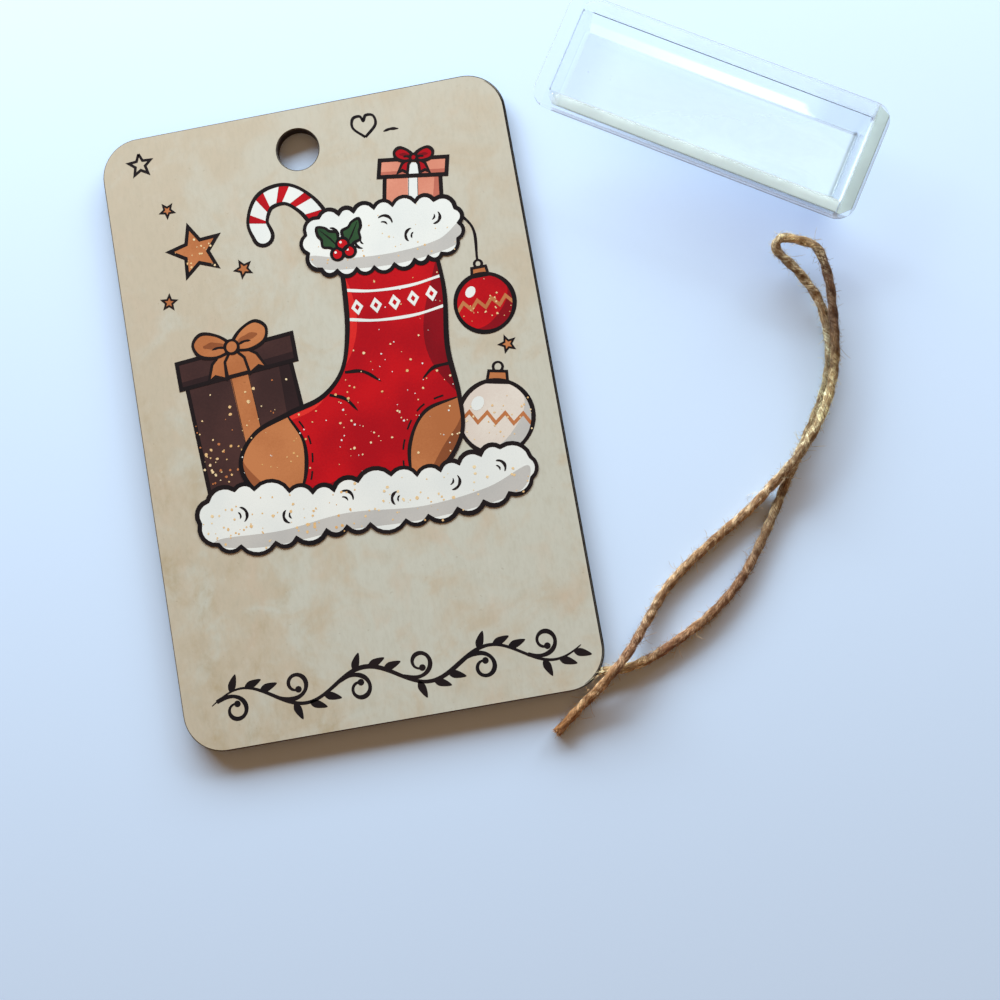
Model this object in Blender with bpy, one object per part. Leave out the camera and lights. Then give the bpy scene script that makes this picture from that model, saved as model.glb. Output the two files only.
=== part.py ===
"""Wooden money gift tag: a printed board tag, a clear pouch for rolled notes, and a length of twine.

Lengths are in metres. The tag lies on its back on the surface z = 0, with the origin at the middle of
its back face, +X to its right, +Y towards its hanging hole and +Z out of its printed face. The pouch
and the twine lie beside it on the same surface.
"""
import math

import bmesh
import bpy
from mathutils import Vector

# The board of the tag, and the print layer on its face
TAG_WIDTH = 0.1016
TAG_HEIGHT = 0.1524
TAG_CORNER_RADIUS = 0.0096
BOARD_THICKNESS = 0.0022
HOLE_DIAMETER = 0.0104
HOLE_BELOW_TOP = 0.0106
HOLE_LEFT_OF_MIDDLE = 0.0015
PRINT_THICKNESS = 0.00025
PRINT_INSET = 0.0003
LAYER_GAP = 0.00005

# The pouch, a formed tray of clear plastic that lies on its floor with its open side up
POCKET_LENGTH = 0.0736
POCKET_WIDTH = 0.0215
POUCH_HEIGHT = 0.0085
POUCH_WALL = 0.00045
WALL_DRAFT = 0.00115
FLOOR_FILLET = 0.0006
WALL_CORNER_RADIUS = 0.0009
LIP_RADIUS = 0.0002
FLANGE_WIDTH = 0.0039
FLANGE_CORNER_RADIUS = 0.0046

# Where the pouch lies: beside the tag's right edge, turned clockwise
POUCH_TURN = math.radians(-32.8)
POUCH_TAG_GAP = 0.0074
POUCH_BELOW_TOP = 0.0215

# The adhesive strips on three sides of the flange, and the release liner on each
STRIP_WIDTH = 0.0031
STRIP_THICKNESS = 0.00025
STRIP_MOUTH_GAP = 0.0001
STRIP_JOINT_GAP = 0.0002
STRIP_TAPER = 0.0018
END_STRIP_CUT = 0.0022
END_STRIP_SLANT = 0.0016
LINER_THICKNESS = 0.0001

# The twine
TWINE_DIAMETER = 0.0022

# Every cut runs this far past the faces it goes through
CUT_OVERRUN = 0.0010

# Counts of straight runs in the round shapes
TAG_CORNER_STEPS = 14
HOLE_STEPS = 56
POUCH_CORNER_STEPS = 7
FILLET_STEPS = 4
TWINE_STEPS = 2
TWINE_BEVEL_RESOLUTION = 2

# The twine's route along its middle line. It starts at the end by the tag's corner, runs up to the
# loop, which stands a little off the surface, comes back down lying on its own first leg, and ends
# at the free end past the crossing.
TWINE_ROUTE = [
    (0.0496, -0.0730, 0.0011),
    (0.0544, -0.0732, 0.0011),
    (0.0600, -0.0722, 0.0011),
    (0.0674, -0.0691, 0.0011),
    (0.0771, -0.0640, 0.0011),
    (0.0854, -0.0573, 0.0011),
    (0.0926, -0.0482, 0.0011),
    (0.1000, -0.0369, 0.0011),
    (0.1085, -0.0246, 0.0011),
    (0.1123, -0.0185, 0.0011),
    (0.1148, -0.0132, 0.0011),
    (0.1164, -0.0074, 0.0011),
    (0.1168, -0.0021, 0.0013),
    (0.1165, 0.0025, 0.0018),
    (0.1154, 0.0063, 0.0025),
    (0.1137, 0.0095, 0.0032),
    (0.1119, 0.0125, 0.0038),
    (0.1099, 0.0152, 0.0041),
    (0.1087, 0.0169, 0.0042),
    (0.1080, 0.0183, 0.0043),
    (0.1082, 0.0197, 0.0043),
    (0.1093, 0.0206, 0.0043),
    (0.1108, 0.0206, 0.0043),
    (0.1126, 0.0199, 0.0043),
    (0.1167, 0.0178, 0.0043),
    (0.1178, 0.0160, 0.0043),
    (0.1183, 0.0136, 0.0043),
    (0.1186, 0.0107, 0.0043),
    (0.1187, 0.0076, 0.0043),
    (0.1184, 0.0038, 0.0042),
    (0.1180, -0.0005, 0.0040),
    (0.1174, -0.0053, 0.0039),
    (0.1166, -0.0095, 0.0038),
    (0.1154, -0.0136, 0.0038),
    (0.1136, -0.0179, 0.0038),
    (0.1114, -0.0217, 0.0038),
    (0.1082, -0.0262, 0.0038),
    (0.1039, -0.0308, 0.0038),
    (0.1008, -0.0335, 0.0035),
    (0.0977, -0.0359, 0.0026),
    (0.0945, -0.0385, 0.0014),
    (0.0908, -0.0412, 0.0011),
    (0.0810, -0.0471, 0.0011),
    (0.0733, -0.0520, 0.0011),
    (0.0673, -0.0568, 0.0011),
    (0.0624, -0.0624, 0.0014),
    (0.0587, -0.0667, 0.0024),
    (0.0552, -0.0703, 0.0036),
    (0.0521, -0.0730, 0.0039),
    (0.0489, -0.0757, 0.0034),
    (0.0456, -0.0782, 0.0022),
    (0.0424, -0.0805, 0.0013),
    (0.0394, -0.0828, 0.0011),
    (0.0362, -0.0852, 0.0011),
]


def clear_scene():
    for obj in list(bpy.data.objects):
        bpy.data.objects.remove(obj, do_unlink=True)


def material(name, colour, roughness, metallic=0.0, alpha=1.0):
    made = bpy.data.materials.new(name)
    made.use_nodes = True
    shader = made.node_tree.nodes["Principled BSDF"]
    shader.inputs["Base Color"].default_value = (*colour, 1.0)
    shader.inputs["Roughness"].default_value = roughness
    shader.inputs["Metallic"].default_value = metallic
    shader.inputs["Alpha"].default_value = alpha
    return made


def add_mesh(name, mesh_builder, surface, parent=None, place=(0.0, 0.0, 0.0), smooth=False):
    """A mesh object at its place under its parent, built around its own origin."""
    data = bpy.data.meshes.new(name)
    mesh_builder.to_mesh(data)
    mesh_builder.free()
    obj = bpy.data.objects.new(name, data)
    bpy.context.scene.collection.objects.link(obj)
    obj.parent = parent
    obj.location = place
    if surface is not None:
        data.materials.append(surface)
    if smooth:
        data.shade_smooth()
        data.set_sharp_from_angle(angle=math.radians(35))
    return obj


def rounded_outline(half_length, half_width, radius, steps):
    """Points of a rounded rectangle, anticlockwise from the top of its straight right side."""
    points = []
    for quarter, (side_x, side_y) in enumerate(((1, 1), (-1, 1), (-1, -1), (1, -1))):
        centre_x = side_x * (half_length - radius)
        centre_y = side_y * (half_width - radius)
        for step in range(steps + 1):
            angle = math.radians(90) * (quarter + step / steps)
            points.append((centre_x + radius * math.cos(angle), centre_y + radius * math.sin(angle)))
    return points


def extruded(outline, thickness):
    """A plate of this outline, from z = 0 up to its thickness."""
    builder = bmesh.new()
    face = builder.faces.new([builder.verts.new((x, y, 0.0)) for x, y in outline])
    raised = bmesh.ops.extrude_face_region(builder, geom=[face])
    tops = [item for item in raised["geom"] if isinstance(item, bmesh.types.BMVert)]
    bmesh.ops.translate(builder, verts=tops, vec=Vector((0.0, 0.0, thickness)))
    bmesh.ops.recalc_face_normals(builder, faces=builder.faces)
    return builder


def cut_round_hole(obj, name, centre, radius, depth):
    """Cut a hole through the object with a wire cylinder that runs past both its faces."""
    builder = bmesh.new()
    bmesh.ops.create_cone(
        builder, cap_ends=True, segments=HOLE_STEPS, radius1=radius, radius2=radius,
        depth=depth + 2 * CUT_OVERRUN)
    cutter = add_mesh(name, builder, None, place=centre)
    cutter.hide_render = True
    cutter.display_type = "WIRE"
    cut = obj.modifiers.new("hole", "BOOLEAN")
    cut.operation = "DIFFERENCE"
    cut.solver = "EXACT"
    cut.object = cutter


def make_tag_layer(name, inset, bottom, thickness, surface):
    """One layer of the tag: a rounded plate with the hanging hole through it."""
    outline = rounded_outline(
        TAG_WIDTH / 2 - inset, TAG_HEIGHT / 2 - inset, TAG_CORNER_RADIUS - inset, TAG_CORNER_STEPS)
    layer = add_mesh(name, extruded(outline, thickness), surface, place=(0.0, 0.0, bottom))
    hole_centre = (-HOLE_LEFT_OF_MIDDLE, TAG_HEIGHT / 2 - HOLE_BELOW_TOP, bottom + thickness / 2)
    cut_round_hole(layer, name + "_hole_cutter", hole_centre, HOLE_DIAMETER / 2 + inset, thickness)
    return layer


def make_tag():
    board = material("charred_board", (0.16, 0.095, 0.055), 0.75)
    print_layer = material("parchment_print", (0.60, 0.54, 0.43), 0.4)
    make_tag_layer("tag_board", 0.0, 0.0, BOARD_THICKNESS, board)
    make_tag_layer(
        "printed_face", PRINT_INSET, BOARD_THICKNESS + LAYER_GAP, PRINT_THICKNESS, print_layer)


def pouch_place():
    """The empty that carries the pouch: on the surface, under the middle of its pocket."""
    half_flange_length = POCKET_LENGTH / 2 + FLANGE_WIDTH
    half_flange_width = POCKET_WIDTH / 2 + FLANGE_WIDTH
    reach_x = (
        (half_flange_length - FLANGE_CORNER_RADIUS) * math.cos(POUCH_TURN)
        + (half_flange_width - FLANGE_CORNER_RADIUS) * abs(math.sin(POUCH_TURN))
        + FLANGE_CORNER_RADIUS)
    place = bpy.data.objects.new("pouch_place", None)
    bpy.context.scene.collection.objects.link(place)
    place.location = (TAG_WIDTH / 2 + POUCH_TAG_GAP + reach_x, TAG_HEIGHT / 2 - POUCH_BELOW_TOP, 0.0)
    place.rotation_euler = (0.0, 0.0, POUCH_TURN)
    return place


def arc(centre_out, centre_z, radius, start_degrees, stop_degrees, wall_out):
    """Points along one fillet of the pouch's section, where the wall's inner face is at wall_out.

    Each is its distance out from the mouth's edge, its height, and the corner radius of its ring.
    """
    points = []
    for step in range(FILLET_STEPS + 1):
        angle = math.radians(start_degrees + (stop_degrees - start_degrees) * step / FILLET_STEPS)
        out = centre_out + radius * math.cos(angle)
        points.append((out, centre_z + radius * math.sin(angle), WALL_CORNER_RADIUS + out - wall_out))
    return points


def pouch_section():
    """The wall's section, from the floor's underside out to the flange and back in to the floor."""
    fillet_centre = (-WALL_DRAFT - FLOOR_FILLET, POUCH_WALL + FLOOR_FILLET)
    lip_centre = (POUCH_WALL + LIP_RADIUS, POUCH_HEIGHT - POUCH_WALL - LIP_RADIUS)
    section = arc(*fillet_centre, FLOOR_FILLET + POUCH_WALL, -90, 0, -WALL_DRAFT)
    section += arc(*lip_centre, LIP_RADIUS, 180, 90, 0.0)
    section.append((FLANGE_WIDTH, POUCH_HEIGHT - POUCH_WALL, FLANGE_CORNER_RADIUS))
    section.append((FLANGE_WIDTH, POUCH_HEIGHT, FLANGE_CORNER_RADIUS))
    section += arc(*lip_centre, LIP_RADIUS + POUCH_WALL, 90, 180, 0.0)
    section += arc(*fillet_centre, FLOOR_FILLET, 0, -90, -WALL_DRAFT)
    return section


def make_pouch_shell(place):
    """One ring for each point of the section, joined by faces and closed over the floor."""
    clear = material("clear_plastic", (0.86, 0.92, 0.95), 0.08, alpha=0.35)
    builder = bmesh.new()
    rings = []
    for out, height, radius in pouch_section():
        outline = rounded_outline(
            POCKET_LENGTH / 2 + out, POCKET_WIDTH / 2 + out, radius, POUCH_CORNER_STEPS)
        rings.append([builder.verts.new((x, y, height)) for x, y in outline])
    for lower, upper in zip(rings, rings[1:]):
        for here in range(len(lower)):
            after = (here + 1) % len(lower)
            builder.faces.new((lower[here], lower[after], upper[after], upper[here]))
    builder.faces.new(rings[0])
    builder.faces.new(rings[-1])
    bmesh.ops.recalc_face_normals(builder, faces=builder.faces)
    return add_mesh("pouch_shell", builder, clear, parent=place, smooth=True)


def side_strip_outline(side):
    """The strip along one long side of the pocket, its outer corner tapered at the open end."""
    start = -POCKET_LENGTH / 2
    stop = POCKET_LENGTH / 2 + STRIP_MOUTH_GAP - STRIP_JOINT_GAP
    inner = POCKET_WIDTH / 2 + STRIP_MOUTH_GAP
    outer = inner + STRIP_WIDTH
    points = [
        (start, inner), (stop, inner), (stop, outer), (start + STRIP_TAPER, outer),
        (start, outer - STRIP_TAPER)]
    if side < 0:
        points.reverse()
    return [(x, side * y) for x, y in points]


def end_strip_outline():
    """The strip across the pocket's closed end: slanted at one corner, cut away at the other."""
    inner = POCKET_LENGTH / 2 + STRIP_MOUTH_GAP
    outer = inner + STRIP_WIDTH
    reach = POCKET_WIDTH / 2 + STRIP_MOUTH_GAP + STRIP_WIDTH
    return [
        (inner, -reach), (outer - END_STRIP_CUT, -reach), (outer, -reach + END_STRIP_CUT),
        (outer, reach - END_STRIP_SLANT), (inner, reach)]


def make_strips(place):
    """Each adhesive strip on the flange, with its release liner on top."""
    tape = material("adhesive_tape", (0.78, 0.80, 0.78), 0.5)
    liner = material("release_liner", (0.86, 0.88, 0.86), 0.35)
    strip_bottom = POUCH_HEIGHT + LAYER_GAP
    liner_bottom = strip_bottom + STRIP_THICKNESS + LAYER_GAP
    outlines = {
        "top": side_strip_outline(1),
        "end": end_strip_outline(),
        "bottom": side_strip_outline(-1),
    }
    for where, outline in outlines.items():
        middle_x = sum(x for x, y in outline) / len(outline)
        middle_y = sum(y for x, y in outline) / len(outline)
        around = [(x - middle_x, y - middle_y) for x, y in outline]
        add_mesh(
            "adhesive_strip_" + where, extruded(around, STRIP_THICKNESS), tape, parent=place,
            place=(middle_x, middle_y, strip_bottom))
        add_mesh(
            "release_liner_" + where, extruded(around, LINER_THICKNESS), liner, parent=place,
            place=(middle_x, middle_y, liner_bottom))


def smooth_route(points, steps):
    """A smooth curve through the points, nowhere lower than twine that lies on the surface."""
    route = [Vector(point) for point in points]
    route.insert(0, 2 * route[0] - route[1])
    route.append(2 * route[-1] - route[-2])
    smooth = []
    for before, start, stop, after in zip(route, route[1:], route[2:], route[3:]):
        knot_a = math.sqrt((start - before).length)
        knot_b = knot_a + math.sqrt((stop - start).length)
        knot_c = knot_b + math.sqrt((after - stop).length)
        for step in range(steps):
            knot = knot_a + (knot_b - knot_a) * step / steps
            one = before.lerp(start, knot / knot_a)
            two = start.lerp(stop, (knot - knot_a) / (knot_b - knot_a))
            three = stop.lerp(after, (knot - knot_b) / (knot_c - knot_b))
            left = one.lerp(two, knot / knot_b)
            right = two.lerp(three, (knot - knot_a) / (knot_c - knot_a))
            smooth.append(left.lerp(right, (knot - knot_a) / (knot_b - knot_a)))
    smooth.append(route[-2])
    for point in smooth:
        point.z = max(point.z, TWINE_DIAMETER / 2)
    return smooth


def make_twine():
    points = smooth_route(TWINE_ROUTE, TWINE_STEPS)
    curve = bpy.data.curves.new("hanging_twine", "CURVE")
    curve.dimensions = "3D"
    curve.bevel_depth = TWINE_DIAMETER / 2
    curve.bevel_resolution = TWINE_BEVEL_RESOLUTION
    curve.use_fill_caps = True
    spline = curve.splines.new("POLY")
    spline.points.add(len(points) - 1)
    for target, point in zip(spline.points, points):
        target.co = (*point, 1.0)
    curve.materials.append(material("jute", (0.42, 0.27, 0.15), 0.9))
    twine = bpy.data.objects.new("hanging_twine", curve)
    bpy.context.scene.collection.objects.link(twine)


def main():
    clear_scene()
    make_tag()
    place = pouch_place()
    make_pouch_shell(place)
    make_strips(place)
    make_twine()


main()
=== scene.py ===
"""Looks of the wooden money gift tag: the printed board, its clear pouch and the jute twine.

Lengths are in metres, in the part's own frame: the tag lies on its back on z = 0 with the origin at
its middle, +Y towards its hanging hole and +Z out of its printed face. The print is drawn in
millimetres. Colours written from 0 to 255 are sRGB, and those written from 0 to 1 are linear.
"""
import math
import random

import bpy
import numpy as np
from mathutils import Matrix, Vector
from mathutils.geometry import tessellate_polygon


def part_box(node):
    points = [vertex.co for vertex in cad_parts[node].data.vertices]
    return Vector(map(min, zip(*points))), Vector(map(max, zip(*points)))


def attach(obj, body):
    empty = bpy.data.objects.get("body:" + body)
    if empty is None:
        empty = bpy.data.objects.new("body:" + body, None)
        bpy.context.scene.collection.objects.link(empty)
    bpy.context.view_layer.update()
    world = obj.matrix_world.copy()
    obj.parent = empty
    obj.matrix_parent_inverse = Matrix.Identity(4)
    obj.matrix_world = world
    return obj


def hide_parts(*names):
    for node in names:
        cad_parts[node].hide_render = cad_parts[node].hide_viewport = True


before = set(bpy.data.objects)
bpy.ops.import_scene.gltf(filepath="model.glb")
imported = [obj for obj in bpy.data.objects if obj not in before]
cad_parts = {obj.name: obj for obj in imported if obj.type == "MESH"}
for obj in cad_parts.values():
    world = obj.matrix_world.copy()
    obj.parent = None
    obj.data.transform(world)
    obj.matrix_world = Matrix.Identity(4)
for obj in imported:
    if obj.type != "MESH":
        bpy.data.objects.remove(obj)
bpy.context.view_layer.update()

MM = 0.001

# The camera, over the tag and turned a little against it
CAMERA_PLACE = Vector((0.04132, -0.05058, 0.25719))
CAMERA_AIM = Vector((0.03254, -0.02862, -0.0005))
CAMERA_TURN = math.radians(10.03)
FOCAL_PIXELS = 1072
IMAGE_PIXELS = 1000
SENSOR_WIDTH = 36.0
NEAREST_SEEN = 0.01

# The stage, and the light of two windows beyond the top of the picture
FLOOR_SIZE = 6.0
FLOOR_DROP = 0.0001
FLOOR_COLOUR = (214, 230, 253)
# Each window: its distance, its turn from the camera's up, its width, its foot, its top and its watts
WINDOWS = {
    "window": (0.89, math.radians(-18.7), 1.2, 0.125, 0.435, 28.6),
    "side_window": (1.05, math.radians(31.0), 0.6, 0.110, 0.380, 11.8),
}
WINDOW_COLOUR = (0.736, 0.899, 1.0)
ROOM_COLOUR = (0.244, 0.14, 0.067, 1.0)
BACKDROP_COLOUR = (0.80, 0.86, 0.90, 1.0)
# How far from the middle the floor starts to fade into the backdrop, and has gone into it
BACKDROP_REACH = (0.25, 0.70)

# The twine, along the route of its solid
TWINE_DIAMETER = 0.0022
TWINE_ROUTE = [
    (0.0496, -0.0730, 0.0011), (0.0544, -0.0732, 0.0011), (0.0600, -0.0722, 0.0011),
    (0.0674, -0.0691, 0.0011), (0.0771, -0.0640, 0.0011), (0.0854, -0.0573, 0.0011),
    (0.0926, -0.0482, 0.0011), (0.1000, -0.0369, 0.0011), (0.1085, -0.0246, 0.0011),
    (0.1123, -0.0185, 0.0011), (0.1148, -0.0132, 0.0011), (0.1164, -0.0074, 0.0011),
    (0.1168, -0.0021, 0.0013), (0.1165, 0.0025, 0.0018), (0.1154, 0.0063, 0.0025),
    (0.1137, 0.0095, 0.0032), (0.1119, 0.0125, 0.0038), (0.1099, 0.0152, 0.0041),
    (0.1087, 0.0169, 0.0042), (0.1080, 0.0183, 0.0043), (0.1082, 0.0197, 0.0043),
    (0.1093, 0.0206, 0.0043), (0.1108, 0.0206, 0.0043), (0.1126, 0.0199, 0.0043),
    (0.1167, 0.0178, 0.0043), (0.1178, 0.0160, 0.0043), (0.1183, 0.0136, 0.0043),
    (0.1186, 0.0107, 0.0043), (0.1187, 0.0076, 0.0043), (0.1184, 0.0038, 0.0042),
    (0.1180, -0.0005, 0.0040), (0.1174, -0.0053, 0.0039), (0.1166, -0.0095, 0.0038),
    (0.1154, -0.0136, 0.0038), (0.1136, -0.0179, 0.0038), (0.1114, -0.0217, 0.0038),
    (0.1082, -0.0262, 0.0038), (0.1039, -0.0308, 0.0038), (0.1008, -0.0335, 0.0035),
    (0.0977, -0.0359, 0.0026), (0.0945, -0.0385, 0.0014), (0.0908, -0.0412, 0.0011),
    (0.0810, -0.0471, 0.0011), (0.0733, -0.0520, 0.0011), (0.0673, -0.0568, 0.0011),
    (0.0624, -0.0624, 0.0014), (0.0587, -0.0667, 0.0024), (0.0552, -0.0703, 0.0036),
    (0.0521, -0.0730, 0.0039), (0.0489, -0.0757, 0.0034), (0.0456, -0.0782, 0.0022),
    (0.0424, -0.0805, 0.0013), (0.0394, -0.0828, 0.0011), (0.0362, -0.0852, 0.0011),
]
ROUTE_STEPS = 12
PLY_COUNT = 2
PLY_RADIUS = 0.00085
PLY_OFFSET = 0.00023
PLY_PITCH = 0.0098
FIBRE_PITCH = -0.0090
RING_SPACING = 0.00022
RING_POINTS = 28
# How a ply swells along the twine: its share of the radius, and the lengths of its waves
SWELL_SHARE = 0.03
SWELL_WAVES = (0.007, 0.013, 0.031)
# The ridges of a ply's fibres: how many go round it, how strong they are, and how they drift along it
FIBRE_RIDGES = ((11, 0.45, 1100.0), (7, 0.45, -900.0), (5, 0.35, 700.0), (3, 0.4, -350.0))
RIDGE_HEIGHT_SHARE = 0.075
# How far apart the streaks of the two plies lie in their texture
PLY_APART = 9
PLY_SEED = 5
STRAND_SEED = 11
# Fibres on the surface: how many, their radius, lengths and points, and how far from the ends they start
SURFACE_FIBRES = 2600
SURFACE_FIBRE_RADIUS = 0.00006
FIBRE_LENGTHS = (0.003, 0.008)
FIBRE_POINTS = 12
FIBRE_MARGINS = (0.001, 0.009)
# Short and long hairs: how many, their radius, their mean and greatest length, and the points along each
HAIRS = ((7000, 0.00003, 0.0006, 0.0020, 5), (560, 0.000039, 0.0013, 0.0045, 8))
# How far out of the twine's middle a hair starts, as a share of its diameter
HAIR_ROOT = 0.41
# How wide a strand is at its tips, as a share of its middle
STRAND_TIP = 0.35
# The frayed ends: fibres at each, their radius and how deep they start, and their lengths at the two ends
TUFT_FIBRES = 60
TUFT_RADIUS = 0.000075
TUFT_ROOT = 0.0006
START_TUFT = 0.003
END_TUFT = 0.0009
# The least gap to the floor of each kind of strand
PLY_GAP = 0.00003
FIBRE_GAP = 0.00005
HAIR_GAP = 0.00008
TUFT_GAP = 0.0001
# How the jute's tone runs along the twine, partly its own colour and partly painted highlight and shade:
# (share of its length, red, green, blue), 1 for its own colour
TWINE_TONES_AND_LIGHT = [
    (0.00, 1.50, 1.50, 1.45), (0.02, 1.25, 1.15, 1.00), (0.05, 0.78, 0.54, 0.50), (0.09, 0.82, 0.62, 0.54),
    (0.13, 0.52, 0.34, 0.30), (0.17, 0.64, 0.52, 0.50), (0.21, 0.75, 0.70, 0.66), (0.25, 1.15, 1.15, 1.15),
    (0.29, 0.62, 0.58, 0.50), (0.32, 0.66, 0.70, 0.68), (0.36, 0.90, 0.98, 1.05), (0.40, 1.25, 1.28, 1.35),
    (0.43, 0.78, 0.76, 0.70), (0.455, 0.90, 0.86, 0.84), (0.475, 1.85, 1.90, 1.70), (0.49, 1.50, 1.55, 1.50),
    (0.51, 0.36, 0.26, 0.24), (0.57, 0.30, 0.20, 0.16), (0.60, 0.66, 0.58, 0.46), (0.63, 1.35, 1.50, 1.50),
    (0.66, 0.95, 0.95, 0.92), (0.69, 0.76, 0.68, 0.66), (0.72, 1.15, 1.05, 1.05), (0.78, 0.76, 0.58, 0.48),
    (0.85, 0.98, 0.84, 0.80), (0.90, 0.58, 0.40, 0.38), (0.94, 0.98, 0.76, 0.64), (1.00, 0.85, 0.56, 0.38),
]

# The pouch, as its solid is built, but with finer rounds
POCKET_LENGTH = 0.0736
POCKET_WIDTH = 0.0215
POCKET_MOUTH = -POCKET_LENGTH / 2
POCKET_END = POCKET_LENGTH / 2
POCKET_SIDE = POCKET_WIDTH / 2
POUCH_HEIGHT = 0.0085
POUCH_WALL = 0.00045
WALL_DRAFT = 0.00115
FLOOR_FILLET = 0.0006
WALL_CORNER_RADIUS = 0.0009
LIP_RADIUS = 0.0002
FLANGE_WIDTH = 0.0039
FLANGE_CORNER_RADIUS = 0.0046
FRONT_FLANGE_EXTRA = 0.0006
POUCH_TURN = math.radians(-32.8)
POUCH_CORNER_STEPS = 16
FILLET_STEPS = 10
SHARP_ANGLE = math.radians(50)
# Where the plastic's looks fade in its own frame, along the pocket, across it or in height: a ramp runs
# from where a look is least to where it is full, then says how much that is if not none and all, and a
# band has four places, its start, full, fade and end
# Most of these looks are painted: glare, light and shade laid on the plastic
FLOOR_BAND = (0.0002, 0.0004, 0.0005, 0.0008)
GLARE_HEIGHTS = (0.0004, 0.0008, 0.0040, 0.0048)
GLARE_REACH = (0.0282, 0.0262)
GLARE_GROWTH = (-0.034, 0.004, 0.02, 0.085)
SCRATCH_HEIGHTS = (0.0007, 0.0005)
HAZE_AND_LIGHT_GROWTH = (-0.048, 0.034, 0.04, 0.42)
SHADE_GROWTH = (-0.028, 0.030)
UPPER_END = (0.021, 0.028)
UPPER_WALL = (0.0092, 0.0098)
MOUTH_SHADE = (-0.024, -0.034)
FOOT_SHADE_HEIGHTS = (0.0016, 0.0006)
LIP_HIGHLIGHT_HEIGHTS = (0.0068, 0.0074)
MOUTH_LINE_HEIGHTS = (0.0080, 0.0083)
# The same for looks along an edge, as steps from the pocket's mouth, end or side, or from the rim
MOUTH_BAND = (-0.0010, -0.0007, 0.0016, 0.0024)
MOUTH_LINE = (-0.00030, -0.00012, 0.00008, 0.00024)
LIP_HIGHLIGHT_BAND = (-0.0006, -0.0001, 0.0006, 0.0009)
CUT_BAND = (-0.0043, -0.0034, -0.0032, -0.0028)
MOUTH_LINE_ENDS = (0.0002, -0.0001)
END_CUT = (0.0029, 0.0033, 0.0, 0.8)
FOOT_SHADE_FADE = (-0.0026, -0.0016)
RIM_FADE = (-0.0002, -0.0001)
WALL_LOOK = WALL_DRAFT * 1.3
WALL_SHADE = WALL_DRAFT * 1.2
# How much noise makes a scratch
SCRATCHES = (0.735, 0.76)
# Tape and liner of each strip: (colour, colour of the painted shade along its outer cut, how far the tape
# hides what lies under it, and the liner). The strips are one film: the end strip's darker colour is painted
# shade, and the top one is paler, bluer and clearer
STRIPS = {
    "top": ((236, 250, 255), (226, 240, 248), 0.10, 0.16),
    "end": ((214, 226, 219), (160, 170, 162), 0.40, 0.44),
    "bottom": ((236, 243, 236), (158, 165, 152), 0.36, 0.40),
}
# The film, by how far out from the pocket: its outer cut, where its painted shade starts, and where it is
# full
STRIP_OUTER = 0.0032
FILM_SHADE_STARTS = 0.0008
FILM_FADE = 0.0011
FILM_CUT = (-0.0003, -0.0001)
FILM_MOUTH_FADE = (0.0, 0.0042, 0.05, 1.0)

# The print: thin plates of ink just above the face, in steps of height that keep them apart
PRINT_TOP = 0.002503
INK_STEP = 0.000005
INK_SHIFT = 0.0000004
INK_SHIFTS = 9
INK_THICKNESS = 0.0000012
# Brush lines, in millimetres: usual widths, tips as wide as the line, and how a hand's line tapers and swells
LEAST_CORNER_COSINE = 0.4
PEN = 0.7
THIN_PEN = 0.45
THICK_PEN = 1.0
EVEN = (1, 1)
TIP_SHARE = 0.35
HAND_SWELL = 0.13
SPECK_CORNERS = 7
SPECK_SEED = 24
# The coat that the face and its inks share, and the inks, each (colour, accent, slot)
COAT_ROUGHNESS = 0.34
INKS = {
    "black": ((16, 8, 10), (28, 17, 17), "ink_black"),
    "red": ((196, 18, 26), (168, 12, 24), "ink_red"),
    "dark_red": ((138, 12, 24), (118, 10, 20), "ink_red"),
    "light_red": ((226, 52, 44), (210, 34, 34), "ink_red"),
    "white": ((236, 232, 224), (226, 224, 218), "ink_white"),
    "cream": ((228, 214, 200), (218, 200, 186), "ink_white"),
    "shade": ((198, 190, 182), (186, 180, 174), "ink_white"),
    "brown": ((74, 46, 42), (58, 36, 34), "ink_brown"),
    "dark_brown": ((50, 30, 30), (40, 24, 24), "ink_brown"),
    "tan": ((196, 122, 76), (176, 104, 62), "ink_tan"),
    "dark_tan": ((152, 86, 52), (134, 74, 44), "ink_tan"),
    "salmon": ((226, 150, 124), (212, 132, 108), "ink_tan"),
    "dark_salmon": ((196, 112, 92), (182, 100, 82), "ink_tan"),
    "green": ((48, 78, 46), (34, 60, 38), "ink_green"),
    "gold": ((222, 168, 104), (240, 214, 170), "ink_gold"),
}
# The painted shade line along the right edge, in millimetres: half its width, half its height and its corner
# radius
RIM_LINE = (50.32, 75.72, 9.1)
# Where the charred rim turns from painted shade on the right to paler on the left, either side of the middle,
# and to a maroon painted shadow, at the foot
RIM_TURNS = 0.0400
RIM_FOOT = (-0.0757, -0.0759)
# Points on each corner of the rim's line, and how many are left out at its lower and upper end
RIM_STEPS = 12
RIM_ENDS = (3, 5)
# The vine at the foot of the tag: from, to, height, swing and wave length, in millimetres
VINE = (-43.5, 45.5, -65.2, 3.0, 30.0)


def linear(red, green, blue):
    """A colour written as sRGB values from 0 to 255, as the linear colour that a shader takes."""
    def one(value):
        value = value / 255
        return value / 12.92 if value <= 0.04045 else ((value + 0.055) / 1.055) ** 2.4
    return (one(red), one(green), one(blue), 1.0)


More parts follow.
